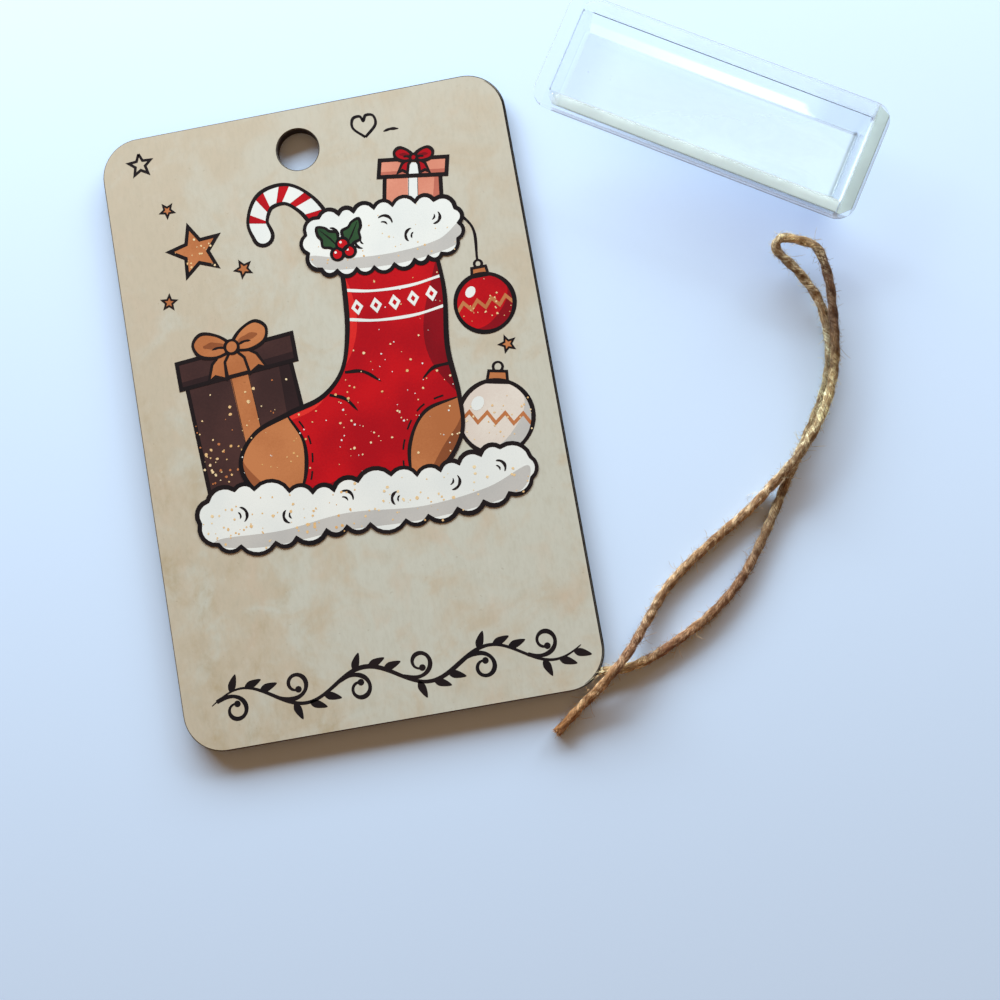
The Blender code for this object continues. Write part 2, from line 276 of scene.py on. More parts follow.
class Nodes:
    """The node tree of a material or of the world, with short ways to add to it."""

    def __init__(self, tree):
        self.tree = tree

    def node(self, kind, inputs=(), **settings):
        """A new node with these settings, and these values in its sockets."""
        made = self.tree.nodes.new("ShaderNode" + kind)
        for name, value in settings.items():
            setattr(made, name, value)
        for key, value in dict(inputs).items():
            self.put(value, made.inputs[key])
        return made

    def put(self, value, socket):
        """Give a socket a field, another socket, a number, or a colour as 3 sRGB or 4 linear values."""
        value = getattr(value, "socket", value)
        if isinstance(value, bpy.types.NodeSocket):
            self.tree.links.new(value, socket)
        elif socket.type == "RGBA" and len(value) == 3:
            socket.default_value = linear(*value)
        else:
            socket.default_value = value

    def object_place(self, stretch=(1.0, 1.0, 1.0)):
        """The point's place in the part's frame, in metres, stretched along the axes."""
        place = self.node("TexCoord").outputs["Object"]
        return self.node("Mapping", {"Vector": place, "Scale": stretch}).outputs["Vector"]

    def own_place(self, matrix):
        """The point's place as seen from this matrix."""
        back = matrix.inverted()
        return self.node("Mapping", {
            "Vector": self.object_place(), "Location": back.to_translation(), "Rotation": back.to_euler(),
        }).outputs["Vector"]

    def attribute_place(self, name, stretch=(1.0, 1.0, 1.0)):
        """A place that the mesh carries along, stretched along its axes."""
        place = self.node("Attribute", attribute_name=name).outputs["Vector"]
        return self.node("Mapping", {"Vector": place, "Scale": stretch}).outputs["Vector"]

    def axes(self, place):
        """The three coordinates of a place."""
        split = self.node("SeparateXYZ", {"Vector": place})
        return [Field(self, split.outputs[axis]) for axis in "XYZ"]

    def noise(self, place, scale, detail=3.0, roughness=0.55, distortion=0.0):
        """Soft noise over a place, with so many waves to the metre."""
        made = self.node("TexNoise", {
            "Vector": place, "Scale": scale, "Detail": detail, "Roughness": roughness,
            "Distortion": distortion})
        return Field(self, made.outputs["Fac"])

    def rays(self, *kinds):
        """1 for light paths of any of these kinds, and 0 for others."""
        path = self.node("LightPath")
        found, *others = (Field(self, path.outputs["Is %s Ray" % kind]) for kind in kinds)
        for other in others:
            found = found.most(other)
        return found

    def mix(self, factor, first, second, blend="MIX"):
        """A blend of two colours."""
        made = self.node("Mix", {0: factor, 6: first, 7: second}, data_type="RGBA", blend_type=blend)
        return Field(self, made.outputs[2])

    def layers(self, colour, *rows):
        """A colour under others, each (the field that it follows, the ramp over that field, the colour)."""
        for field, ramp, over in rows:
            colour = self.mix(field.ramp(*ramp), colour, over)
        return colour


class Field:
    """A value that varies over a surface. Sums of fields and numbers make the nodes that work them out."""

    def __init__(self, nodes, socket):
        self.nodes = nodes
        self.socket = socket

    def joined(self, operation, first, second=0.0):
        made = self.nodes.node("Math", {0: first, 1: second}, operation=operation)
        return Field(self.nodes, made.outputs["Value"])

    def __add__(self, other):
        return self.joined("ADD", self, other)

    def __mul__(self, other):
        return self.joined("MULTIPLY", self, other)

    def __sub__(self, other):
        return self.joined("SUBTRACT", self, other)

    def __rsub__(self, other):
        return self.joined("SUBTRACT", other, self)

    def __abs__(self):
        return self.joined("ABSOLUTE", self)

    def most(self, other):
        """The larger of the two."""
        return self.joined("MAXIMUM", self, other)

    def ramp(self, low, high, to_low=0.0, to_high=1.0, smooth=True, base=0.0):
        """From one value at a low step from a base to another at a high one, and level beyond them."""
        made = self.nodes.node(
            "MapRange", enumerate((self, base + low, base + high, to_low, to_high)),
            interpolation_type="SMOOTHSTEP" if smooth else "LINEAR")
        return Field(self.nodes, made.outputs["Result"])

    def band(self, start, full, fade, end, base=0.0):
        """1 in a band, which starts, is full, fades and ends at these steps from a base."""
        return self.ramp(start, full, base=base) * self.ramp(end, fade, base=base)


class Surface(Nodes):
    """A node material, built up from a Principled shader."""

    def __init__(self, name, colour, roughness, **values):
        self.material = bpy.data.materials.new(name)
        self.material.use_nodes = True
        super().__init__(self.material.node_tree)
        self.shader = self.tree.nodes["Principled BSDF"]
        self.seen = self.shader.outputs["BSDF"]
        self.set(Base_Color=colour, Roughness=roughness, **values)

    def set(self, **values):
        """Put values or fields into the sockets of the Principled shader."""
        for name, value in values.items():
            self.put(value, self.shader.inputs[name.replace("_", " ")])

    def bump(self, height, distance, strength):
        """Make the surface look as rough as a field says."""
        made = self.node("Bump", {"Height": height, "Distance": distance, "Strength": strength})
        self.set(Normal=made.outputs["Normal"])

    def cover(self, share, kind, colour):
        """Lay another kind of shader over what is there, as much of it as a field says."""
        over = self.node(kind, {"Color": colour}).outputs[0]
        self.seen = self.node("MixShader", enumerate((share, self.seen, over))).outputs["Shader"]
        self.put(self.seen, self.tree.nodes["Material Output"].inputs["Surface"])


def set_camera():
    data = bpy.data.cameras.new("camera")
    data.sensor_width = SENSOR_WIDTH
    data.lens = SENSOR_WIDTH * FOCAL_PIXELS / IMAGE_PIXELS
    data.clip_start = NEAREST_SEEN
    camera = bpy.data.objects.new("camera", data)
    bpy.context.scene.collection.objects.link(camera)
    back = (CAMERA_PLACE - CAMERA_AIM).normalized()
    up_hint = Vector((math.sin(CAMERA_TURN), math.cos(CAMERA_TURN), 0.0))
    right = up_hint.cross(back).normalized()
    up = back.cross(right)
    camera.matrix_world = Matrix.Translation(CAMERA_PLACE) @ Matrix((right, up, back)).transposed().to_4x4()
    bpy.context.scene.camera = camera


def smooth_route(points, steps):
    """A smooth curve through the points, nowhere lower than twine that lies on the surface."""
    route = [Vector(point) for point in points]
    route.insert(0, 2 * route[0] - route[1])
    route.append(2 * route[-1] - route[-2])
    smooth = []
    for before, start, stop, after in zip(route, route[1:], route[2:], route[3:]):
        knot_a = math.sqrt((start - before).length)
        knot_b = knot_a + math.sqrt((stop - start).length)
        knot_c = knot_b + math.sqrt((after - stop).length)
        for step in range(steps):
            knot = knot_a + (knot_b - knot_a) * step / steps
            one = before.lerp(start, knot / knot_a)
            two = start.lerp(stop, (knot - knot_a) / (knot_b - knot_a))
            three = stop.lerp(after, (knot - knot_b) / (knot_c - knot_b))
            left = one.lerp(two, knot / knot_b)
            right = two.lerp(three, (knot - knot_a) / (knot_c - knot_a))
            smooth.append(left.lerp(right, (knot - knot_a) / (knot_b - knot_a)))
    smooth.append(route[-2])
    for point in smooth:
        point.z = max(point.z, TWINE_DIAMETER / 2)
    return smooth


def unit(rows, spare=0.0):
    """Rows scaled to length 1, where a small spare length keeps empty rows from a division by nothing."""
    return rows / (np.linalg.norm(rows, axis=1, keepdims=True) + spare)


def turned(first, second, angle):
    """The direction at an angle from the first of two directions towards the second."""
    return first * np.cos(angle) + second * np.sin(angle)


def above_floor(line, gap):
    """Places along a line, none of them nearer to the floor than a gap."""
    return np.maximum(np.array(line), (-np.inf, -np.inf, gap))


class Route:
    """A line that can be read at any length along it, with a frame that doesn't twist."""

    def __init__(self, points, spacing):
        given = np.array(points, float)
        lengths = np.concatenate([[0.0], np.cumsum(np.linalg.norm(np.diff(given, axis=0), axis=1))])
        self.length = float(lengths[-1])
        count = int(round(self.length / spacing)) + 1
        self.along = np.linspace(0.0, self.length, count)
        self.points = np.stack([np.interp(self.along, lengths, given[:, k]) for k in range(3)], axis=1)
        self.tangents = unit(np.gradient(self.points, axis=0))
        side = np.cross(self.tangents[0], (0.0, 0.0, 1.0))
        sides = []
        for tangent in self.tangents:
            side = side - tangent * (side @ tangent)
            side = side / np.linalg.norm(side)
            sides.append(side)
        self.sides = np.array(sides)
        self.ups = np.cross(self.sides, self.tangents)

    def at(self, along):
        """Place, side, up and tangent at these lengths along the line."""
        def read(rows):
            return np.stack([np.interp(along, self.along, rows[:, k]) for k in range(3)], axis=-1)
        return read(self.points), read(self.sides), read(self.ups), read(self.tangents)


def ply_frame(route, along, ply):
    """The middle of one ply at these lengths, and the directions out of the twine and across them."""
    place, side, up, tangent = route.at(along)
    angle = 2 * math.pi * (along / PLY_PITCH + ply / PLY_COUNT)
    out = turned(side, up, angle[:, None])
    return place + out * PLY_OFFSET, out, np.cross(tangent, out)


def add_mesh(name, points, faces, surface, smooth=True):
    data = bpy.data.meshes.new(name)
    data.from_pydata(np.asarray(points).tolist(), [], faces)
    data.materials.append(surface.material)
    if smooth:
        data.shade_smooth()
    made = bpy.data.objects.new(name, data)
    bpy.context.scene.collection.objects.link(made)
    return made


def tube_faces(rings, sides, first, closed=False):
    """Quads between the rings of a tube, and a cap at each end unless it closes on itself."""
    faces = []
    for ring in range(rings if closed else rings - 1):
        for side in range(sides):
            after = (side + 1) % sides
            low, high = first + ring * sides, first + (ring + 1) % rings * sides
            faces.append((low + side, low + after, high + after, high + side))
    if closed:
        return faces
    faces.append(tuple(first + side for side in reversed(range(sides))))
    faces.append(tuple(first + (rings - 1) * sides + side for side in range(sides)))
    return faces


def strand(line, radius, sides):
    """Points of a thin tube along a line of places, narrowing to its tips."""
    tangents = unit(np.gradient(line, axis=0), 1e-12)
    helper = np.array((0.0, 0.0, 1.0)) if abs(tangents[0][2]) < 0.9 else np.array((1.0, 0.0, 0.0))
    side = unit(np.cross(tangents, helper), 1e-12)
    up = np.cross(side, tangents)
    middle = np.abs(np.linspace(-1, 1, len(line)))
    radii = radius * (1 - (1 - STRAND_TIP) * middle ** 3)
    angles = np.arange(sides) * 2 * math.pi / sides
    ring = turned(side[:, None, :], up[:, None, :], angles[None, :, None])
    return (line[:, None, :] + ring * radii[:, None, None]).reshape(-1, 3)


def make_plies(route, surface):
    """Two plies twisted round each other, with the ridges of their fibres in the surface."""
    dice = np.random.default_rng(PLY_SEED)
    along = route.along
    ring_angles = np.arange(RING_POINTS) * 2 * math.pi / RING_POINTS
    points, faces, fibre_places = [], [], []
    for ply in range(PLY_COUNT):
        centre, out, across = ply_frame(route, along, ply)
        fibre_angle = ring_angles[None, :] + 2 * math.pi * along[:, None] / FIBRE_PITCH
        swell = sum(
            SWELL_SHARE * np.sin(2 * math.pi * along / wave + dice.uniform(0, 6)) for wave in SWELL_WAVES)
        ridges = sum(
            share * np.sin(count * fibre_angle + dice.uniform(0, 6) + drift * along[:, None])
            for count, share, drift in FIBRE_RIDGES)
        radius = PLY_RADIUS * (1 + swell[:, None] + RIDGE_HEIGHT_SHARE * ridges)
        ring = turned(out[:, None, :], across[:, None, :], ring_angles[None, :, None])
        faces += tube_faces(len(along), RING_POINTS, sum(len(block) for block in points))
        points.append((centre[:, None, :] + ring * radius[:, :, None]).reshape(-1, 3))
        fibre_places.append(np.stack([
            np.cos(fibre_angle) + PLY_APART * ply, np.sin(fibre_angle),
            np.repeat(along[:, None] / PLY_RADIUS, RING_POINTS, axis=1)], axis=2).reshape(-1, 3))
    made = add_mesh("hanging_twine_plies", above_floor(np.concatenate(points), PLY_GAP), faces, surface)
    fibre_places = np.concatenate(fibre_places)
    set_vectors(made, "fibre_place", fibre_places)
    set_vectors(made, "twine_tone_and_light", tones_at(fibre_places[:, 2] * PLY_RADIUS / route.length))
    return made


def set_vectors(piece, name, rows):
    made = piece.data.attributes.new(name, "FLOAT_VECTOR", "POINT")
    made.data.foreach_set("vector", np.asarray(rows, float).ravel())


def tones_at(shares):
    """How strong the jute's red, green and blue are at these shares of its length, with painted highlight and
    shade in them.
    """
    table = np.array(TWINE_TONES_AND_LIGHT)
    return np.stack([np.interp(shares, table[:, 0], table[:, k]) for k in (1, 2, 3)], axis=-1)


def surface_fibre(route, dice):
    """One fibre that winds along a ply, a little proud of it at its ends."""
    start = dice.uniform(FIBRE_MARGINS[0], route.length - FIBRE_MARGINS[1])
    along = np.linspace(start, start + dice.uniform(*FIBRE_LENGTHS), FIBRE_POINTS)
    centre, out, across = ply_frame(route, along, dice.integers(PLY_COUNT))
    angle = dice.uniform(0, 2 * math.pi) + 2 * math.pi * along / FIBRE_PITCH * dice.uniform(0.5, 1.2)
    lift = 1.0 + 0.10 * np.abs(np.linspace(-1, 1, len(along))) ** 4 * dice.uniform(0, 2)
    ring = turned(out, across, angle[:, None])
    return above_floor(centre + ring * PLY_RADIUS * lift[:, None] * 1.01, FIBRE_GAP)


def loose_hair(route, dice, mean_length, longest, steps):
    """One hair that leaves the twine and curls away from it."""
    along = dice.uniform(0.0, route.length)
    here, side, up, tangent = (rows[0] for rows in route.at(np.array([along])))
    out = turned(side, up, dice.uniform(0, 2 * math.pi))
    heading = out * dice.uniform(0.2, 1.0) + tangent * dice.choice((-1, 1)) * dice.uniform(0.4, 1.6)
    heading /= np.linalg.norm(heading)
    length = min(dice.exponential(mean_length) + mean_length * 0.4, longest)
    bend = dice.normal(0, 1, 3) * dice.uniform(0.2, 0.9)
    here = here + out * TWINE_DIAMETER * HAIR_ROOT
    line = []
    for _ in range(steps):
        line.append(here)
        here = here + heading * length / (steps - 1)
        heading = heading + bend * 0.35
        heading /= np.linalg.norm(heading)
    return above_floor(line, HAIR_GAP)


def end_tuft(route, at_start, longest, dice):
    """Frayed fibres that stick out of one cut end."""
    lines = []
    along = 0.0 if at_start else route.length
    place, side, up, tangent = (rows[0] for rows in route.at(np.array([along])))
    if at_start:
        tangent = -tangent
    for _ in range(TUFT_FIBRES):
        angle = dice.uniform(0, 2 * math.pi)
        reach = dice.uniform(0, 0.85) * TWINE_DIAMETER / 2
        out = turned(side, up, angle)
        spread = dice.uniform(0.0, 0.45)
        length = dice.uniform(0.25, 1.0) * longest
        lines.append(above_floor([
            place + out * reach + (tangent + out * spread * share) * length * share - tangent * TUFT_ROOT
            for share in np.linspace(0, 1.4, 6)], TUFT_GAP))
    return lines


def join_strands(name, groups, route, surface):
    """All the strands of several groups, each (lines, radius, sides), in one mesh."""
    points, faces, shares = [], [], []
    count = 0
    for lines, radius, sides in groups:
        for line in lines:
            block = strand(line, radius, sides)
            faces += tube_faces(len(line), sides, count)
            points.append(block)
            count += len(block)
            nearest = np.argmin(((route.points[::4] - line[0]) ** 2).sum(axis=1)) * 4
            shares += [route.along[nearest] / route.length] * len(block)
    made = add_mesh(name, np.concatenate(points), faces, surface)
    set_vectors(made, "twine_tone_and_light", tones_at(np.array(shares)))
    return made


def toned(surface, colour):
    """A jute colour, lighter or darker along the twine as its tones say, partly its own colour and partly
    painted highlight and shade.
    """
    return surface.mix(1.0, colour, surface.attribute_place("twine_tone_and_light"), "MULTIPLY")


def jute_surface():
    """Dry plant fibre: thin pale streaks along the fibres, partly their own colour and partly painted
    highlight, between deep brown that is partly painted shade in the gaps.
    """
    jute = Surface("jute", (168, 132, 92), 0.75, Specular_IOR_Level=0.2)
    streaks = jute.noise(jute.attribute_place("fibre_place", (2.6, 2.6, 0.26)), 1.0, 4.0, 0.7, 0.6)
    fine = jute.noise(jute.attribute_place("fibre_place", (7.0, 7.0, 0.5)), 1.0, 3.0, 0.6, 0.4)
    patches = jute.noise(jute.object_place(), 130.0, 2.0)
    # The darkest browns are partly painted shade between the fibres, and the palest streaks partly painted
    # highlight
    colour = jute.layers(
        (98, 70, 46),
        (streaks, (0.36, 0.52), (174, 138, 98)),
        (streaks, (0.53, 0.66), (212, 180, 134)),
        (fine, (0.50, 0.34, 0.0, 0.7), (84, 58, 38)),
        (fine, (0.56, 0.68, 0.0, 0.45), (216, 186, 140)),
        (patches, (0.50, 0.72, 0.0, 0.35), (122, 88, 58)))
    jute.set(Base_Color=toned(jute, colour))
    jute.bump(streaks * 0.6 + fine * 0.4, 0.0006, 1.0)
    return jute


def hair_surface():
    hair = Surface("jute_hair", (190, 158, 112), 0.6, Specular_IOR_Level=0.3)
    tone = hair.noise(hair.object_place(), 700.0, 2.0)
    colour = hair.mix(tone.ramp(0.34, 0.66), (128, 94, 60), (246, 228, 186))
    hair.set(Base_Color=toned(hair, colour))
    return hair


def make_twine():
    """The jute twine: two plies, and the fibres, hairs and frayed ends that stand off them."""
    points = smooth_route(TWINE_ROUTE, ROUTE_STEPS)
    route = Route([tuple(point) for point in points], RING_SPACING)
    dice = np.random.default_rng(STRAND_SEED)
    plies = make_plies(route, jute_surface())
    tufts = end_tuft(route, True, START_TUFT, dice) + end_tuft(route, False, END_TUFT, dice)
    groups = [([surface_fibre(route, dice) for _ in range(SURFACE_FIBRES)], SURFACE_FIBRE_RADIUS, 4)]
    for count, radius, *shape in HAIRS:
        groups.append(([loose_hair(route, dice, *shape) for _ in range(count)], radius, 3))
    groups.append((tufts, TUFT_RADIUS, 3))
    hairs = join_strands("hanging_twine_fibres", groups, route, hair_surface())
    for piece in (plies, hairs):
        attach(piece, "tag")
    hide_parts("hanging_twine")


def rounded_outline(half_length, half_width, radius, steps):
    """Points of a rounded rectangle, anticlockwise from the top of its straight right side."""
    points = []
    for quarter, (side_x, side_y) in enumerate(((1, 1), (-1, 1), (-1, -1), (1, -1))):
        corner = (side_x * (half_length - radius), side_y * (half_width - radius))
        for step in range(steps + 1):
            points.append(on_ring(corner, radius, 90 * (quarter + step / steps)))
    return points


def arc(centre_out, centre_z, radius, start_degrees, stop_degrees, wall_out):
    """Points of one fillet of the section: distance out, height, and the corner radius of the ring."""
    points = []
    for step in range(FILLET_STEPS + 1):
        angle = math.radians(start_degrees + (stop_degrees - start_degrees) * step / FILLET_STEPS)
        out = centre_out + radius * math.cos(angle)
        points.append((out, centre_z + radius * math.sin(angle), WALL_CORNER_RADIUS + out - wall_out))
    return points


def pouch_section():
    """The wall's section, from the floor's underside out to the flange and back in to the floor."""
    fillet_centre = (-WALL_DRAFT - FLOOR_FILLET, POUCH_WALL + FLOOR_FILLET)
    lip_centre = (POUCH_WALL + LIP_RADIUS, POUCH_HEIGHT - POUCH_WALL - LIP_RADIUS)
    return [
        *arc(*fillet_centre, FLOOR_FILLET + POUCH_WALL, -90, 0, -WALL_DRAFT),
        *arc(*lip_centre, LIP_RADIUS, 180, 90, 0.0),
        (FLANGE_WIDTH, POUCH_HEIGHT - POUCH_WALL, FLANGE_CORNER_RADIUS),
        (FLANGE_WIDTH, POUCH_HEIGHT, FLANGE_CORNER_RADIUS),
        *arc(*lip_centre, LIP_RADIUS + POUCH_WALL, 90, 180, 0.0),
        *arc(*fillet_centre, FLOOR_FILLET, 0, -90, -WALL_DRAFT),
    ]


def pouch_place():
    """The place and turn of the pouch, from the box of its solid."""
    low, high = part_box("pouch_shell")
    middle = (low + high) / 2
    return Matrix.Translation((middle.x, middle.y, 0.0)) @ Matrix.Rotation(POUCH_TURN, 4, "Z")


def plastic_glare(clear, along, across, height):
    """The light that the upper wall catches, and a few scratches of the floor."""
    by_wall = across.ramp(-WALL_LOOK, -WALL_DRAFT, base=POCKET_SIDE)
    worn = clear.noise(clear.attribute_place("pouch_place", (1.0, 1.0, 0.3)), 900.0, 3.0)
    reach = along + height * 0.9 + worn * 0.006
    stripe = by_wall * height.band(*GLARE_HEIGHTS) * reach.ramp(*GLARE_REACH) * along.ramp(*GLARE_GROWTH)
    scratches = clear.noise(clear.attribute_place("pouch_place", (0.35, 1.0, 1.0)), 700.0, 2.0, 0.5, 1.5)
    return stripe.most(scratches.ramp(*SCRATCHES) * height.ramp(*SCRATCH_HEIGHTS) * 0.25)


def plastic_haze_and_light(clear, along, across, on_floor, at_mouth):
    """The floor's milky haze with faint smudges, partly haze and partly painted light, whitening from the
    mouth's upper corner to the far end.
    """
    smudges = clear.noise(clear.attribute_place("pouch_place", (0.4, 1.0, 1.0)), 120.0, 3.0, 0.5, 0.8)
    lit = along - across * 2.5
    return lit.ramp(*HAZE_AND_LIGHT_GROWTH) * smudges.ramp(0.35, 0.65, 0.85, 1.15) * on_floor * (1.0 - at_mouth)


def plastic_lip(along, across, height):
    """A painted highlight on the far wall's lip, and painted grey shade along the cut edge of the flange."""
    at_lip = along.band(*LIP_HIGHLIGHT_BAND, base=POCKET_END) * height.ramp(*LIP_HIGHLIGHT_HEIGHTS)
    at_ends = abs(along).ramp(*RIM_FADE, base=POCKET_END + FLANGE_WIDTH)
    at_sides = abs(across).ramp(*RIM_FADE, base=POCKET_SIDE + FLANGE_WIDTH)
    return (at_lip * 0.55).most(at_ends.most(at_sides) * 0.30)


def painted_plastic_shade(along, across, on_floor):
    """Thin painted shade: at the far end of the upper wall, on the floor by the mouth, and beside the film's
    cuts.
    """
    upper_end = along.ramp(*UPPER_END) * across.ramp(*UPPER_WALL)
    near_mouth = along.ramp(*MOUTH_SHADE) * on_floor
    below_film = across.band(*CUT_BAND, base=-POCKET_SIDE) * along.ramp(POCKET_MOUTH, 0.0)
    beyond_film = along.ramp(*END_CUT, base=POCKET_END)
    grey = (upper_end * 0.08).most(near_mouth * 0.16)
    return grey.most(below_film.most(beyond_film) * 0.22)


def clear_plastic():
    """Clear plastic, with painted glare, light and shade over it in places, softened at its mouth, and
    casting a pale shadow.
    """
    clear = Surface("clear_plastic", (253, 254, 255), 0.03, Transmission_Weight=1.0, IOR=1.45)
    along, across, height = clear.axes(clear.attribute_place("pouch_place"))
    on_floor = height.band(*FLOOR_BAND)
    at_mouth = along.band(*MOUTH_BAND, base=POCKET_MOUTH)
    # Painted shade along the foot of the far end wall
    foot = along.ramp(*FOOT_SHADE_FADE, base=POCKET_END) * height.ramp(*FOOT_SHADE_HEIGHTS)
    # A painted dark line along the mouth's lip, for the shade that its edge shows
    mouth_line = along.band(*MOUTH_LINE, base=POCKET_MOUTH) * height.ramp(*MOUTH_LINE_HEIGHTS)
    mouth_line = mouth_line * abs(across).ramp(*MOUTH_LINE_ENDS, base=POCKET_SIDE)
    lower_wall = across.ramp(WALL_SHADE, WALL_DRAFT, base=-POCKET_SIDE)
    shade = lower_wall * along.ramp(*SHADE_GROWTH, smooth=False)
    clear.cover(plastic_glare(clear, along, across, height), "BsdfTranslucent", (250, 252, 255))
    clear.cover(plastic_haze_and_light(clear, along, across, on_floor, at_mouth), "BsdfDiffuse", (240, 255, 250))
    clear.cover(plastic_lip(along, across, height), "BsdfDiffuse", (206, 212, 226))
    clear.cover(foot * 0.42, "BsdfDiffuse", (104, 110, 122))
    clear.cover(painted_plastic_shade(along, across, on_floor), "BsdfDiffuse", (150, 156, 172))
    clear.cover(at_mouth * 0.80, "BsdfTransparent", (253, 254, 255))
    clear.cover(mouth_line * 0.6, "BsdfDiffuse", (118, 122, 134))
    shadow = clear.mix(shade, (254, 254, 255), (225, 228, 237))
    clear.cover(clear.rays("Shadow", "Diffuse"), "BsdfTransparent", shadow)
    return clear


def make_pouch():
    """The clear tray, from its section swept round its outline, with a wider flange at its lower side."""
    place = pouch_place()
    local = []
    for out, height, radius in pouch_section():
        outline = rounded_outline(POCKET_END + out, POCKET_SIDE + out, radius, POUCH_CORNER_STEPS)
        extra = FRONT_FLANGE_EXTRA if out == FLANGE_WIDTH else 0.0
        local += [(x, y - extra if y < 0 else y, height) for x, y in outline]
    sides = 4 * (POUCH_CORNER_STEPS + 1)
    faces = tube_faces(len(local) // sides, sides, 0)
    points = [tuple(place @ Vector(point)) for point in local]
    shell = add_mesh("pouch_shell_clear", points, faces, clear_plastic())
    set_vectors(shell, "pouch_place", local)
    shell.data.set_sharp_from_angle(angle=SHARP_ANGLE)
    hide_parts("pouch_shell")
    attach(shell, "pouch")


def film_surface(name, where, roughness, alpha):
    """Milky film: fainter along its inner edge and at the pouch's mouth, darker towards its outer cut with
    painted shade.
    """
    colour, cut_shade_colour = STRIPS[where][:2]
    film = Surface(name, colour, roughness, Specular_IOR_Level=0.4)
    along, across, _ = film.axes(film.own_place(pouch_place()))
    out = along - POCKET_END if where == "end" else abs(across) - POCKET_SIDE
    mottle = film.noise(film.object_place(), 160.0, 2.0)
    tint = film.mix(mottle.ramp(0.3, 0.7), tuple(0.95 * value for value in colour), colour)
    # Painted shade: the film darkens towards its outer cut, and takes the cut's shade colour along the cut
    # itself
    tint = film.mix(out.ramp(FILM_SHADE_STARTS, STRIP_OUTER, 0.0, 0.30, smooth=False), tint, cut_shade_colour)
    cut = out.ramp(*FILM_CUT, base=STRIP_OUTER)
    shown = out.ramp(0.0, FILM_FADE, 0.45 * alpha, alpha)
    if where == "bottom":
        shown = shown * along.ramp(*FILM_MOUTH_FADE, base=POCKET_MOUTH)
    film.set(Base_Color=film.mix(cut, tint, cut_shade_colour), Alpha=shown)
    return film


def finish_strips():
    for where, (*_, tape_alpha, liner_alpha) in STRIPS.items():
        tape = film_surface("adhesive_tape_" + where, where, 0.5, tape_alpha)
        liner = film_surface("release_liner_" + where, where, 0.3, liner_alpha)
        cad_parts["adhesive_strip_" + where].data.materials[0] = tape.material
        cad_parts["release_liner_" + where].data.materials[0] = liner.material


def parchment_surface():
    """A stained paper look: clouds, blushes, patches, a worn corner, fibre and flecks, under a coat, with
    painted light that makes it paler to the right and darker towards the top and sides.
    """
    paper = Surface("parchment_print", (200, 194, 176), COAT_ROUGHNESS, Specular_IOR_Level=0.35)
    place = paper.object_place()
    across, along, _ = paper.axes(place)

    def mottle(stretch, scale, *detail):
        return paper.noise(paper.object_place(stretch), scale, *detail)

    # Painted light: the clouds lean darker and warmer at the left and paler to the right
    clouds = paper.noise(place, 62.0, 4.0, 0.62, 0.5) + across.ramp(-0.044, -0.006, -0.13, 0.05)
    patches = mottle((0.9, 0.7, 1.0), 260.0, 4.0, 0.62)
    colour = paper.layers(
        (196, 181, 158),
        (clouds, (0.38, 0.60), (200, 196, 181)),
        (mottle((1.0, 0.8, 1.0), 88.0, 3.0, 0.55, 0.6), (0.52, 0.74, 0.0, 0.55), (202, 180, 156)),
        (patches, (0.50, 0.78, 0.0, 0.30), (180, 170, 148)),
        (patches, (0.46, 0.24, 0.0, 0.30), (212, 206, 192)))
    worn = mottle((1.2, 0.8, 1.0), 105.0, 5.0, 0.68, 0.2).ramp(0.44, 0.78)
    corner = (across * 14.0 + along * 7.0).ramp(-0.35, -0.80)
    colour = paper.layers(
        paper.mix(worn * corner * 0.85, colour, (172, 150, 114)),
        # Painted shade, darker towards the top and the sides
        (along + abs(across) * 0.5, (-0.02, 0.09, 0.1, 0.5), (194, 175, 151)),
        (mottle((1.0, 0.35, 1.0), 1400.0, 3.0, 0.6), (0.40, 0.70, 0.0, 0.14), (164, 152, 130)),
        (paper.noise(place, 900.0, 2.0), (0.70, 0.78, 0.0, 0.30), (150, 132, 104)))
    paper.set(Base_Color=colour)
    return paper


def board_surface():
    """Hardboard: charred dark at its cut edge and round the face, with painted shade in that rim, and plain
    brown fibre on its back.
    """
    board = Surface("charred_board", (92, 66, 46), 0.8, Specular_IOR_Level=0.2)
    place = board.object_place()
    across, along, _ = board.axes(place)
    upward = board.axes(board.node("NewGeometry").outputs["True Normal"])[2]
    grain = board.noise(place, 900.0, 5.0, 0.7)
    streak = board.noise(board.object_place((1.0, 1.0, 0.02)), 2600.0, 2.0)
    back = board.mix(grain.ramp(0.3, 0.7), (112, 80, 54), (150, 112, 78))
    edge = board.mix(streak.ramp(0.3, 0.7), (24, 15, 12), (52, 32, 24))
    # The rim round the face is char, with painted shade in it: dark on the right, paler on the left, maroon
    # along the foot
    rim = board.mix(across.ramp(RIM_TURNS, -RIM_TURNS), (20, 12, 12), (112, 104, 96))
    rim = board.mix(along.ramp(*RIM_FOOT), rim, (84, 50, 48))
    side = board.mix(upward.ramp(0.6, 0.8), edge, rim)
    board.set(Base_Color=board.mix(upward.ramp(-0.6, -0.8), side, back))
    board.bump(grain, 0.0001, 0.5)
    return board


def finish_tag():
    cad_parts["tag_board"].data.materials[0] = board_surface().material
    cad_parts["printed_face"].data.materials[0] = parchment_surface().material


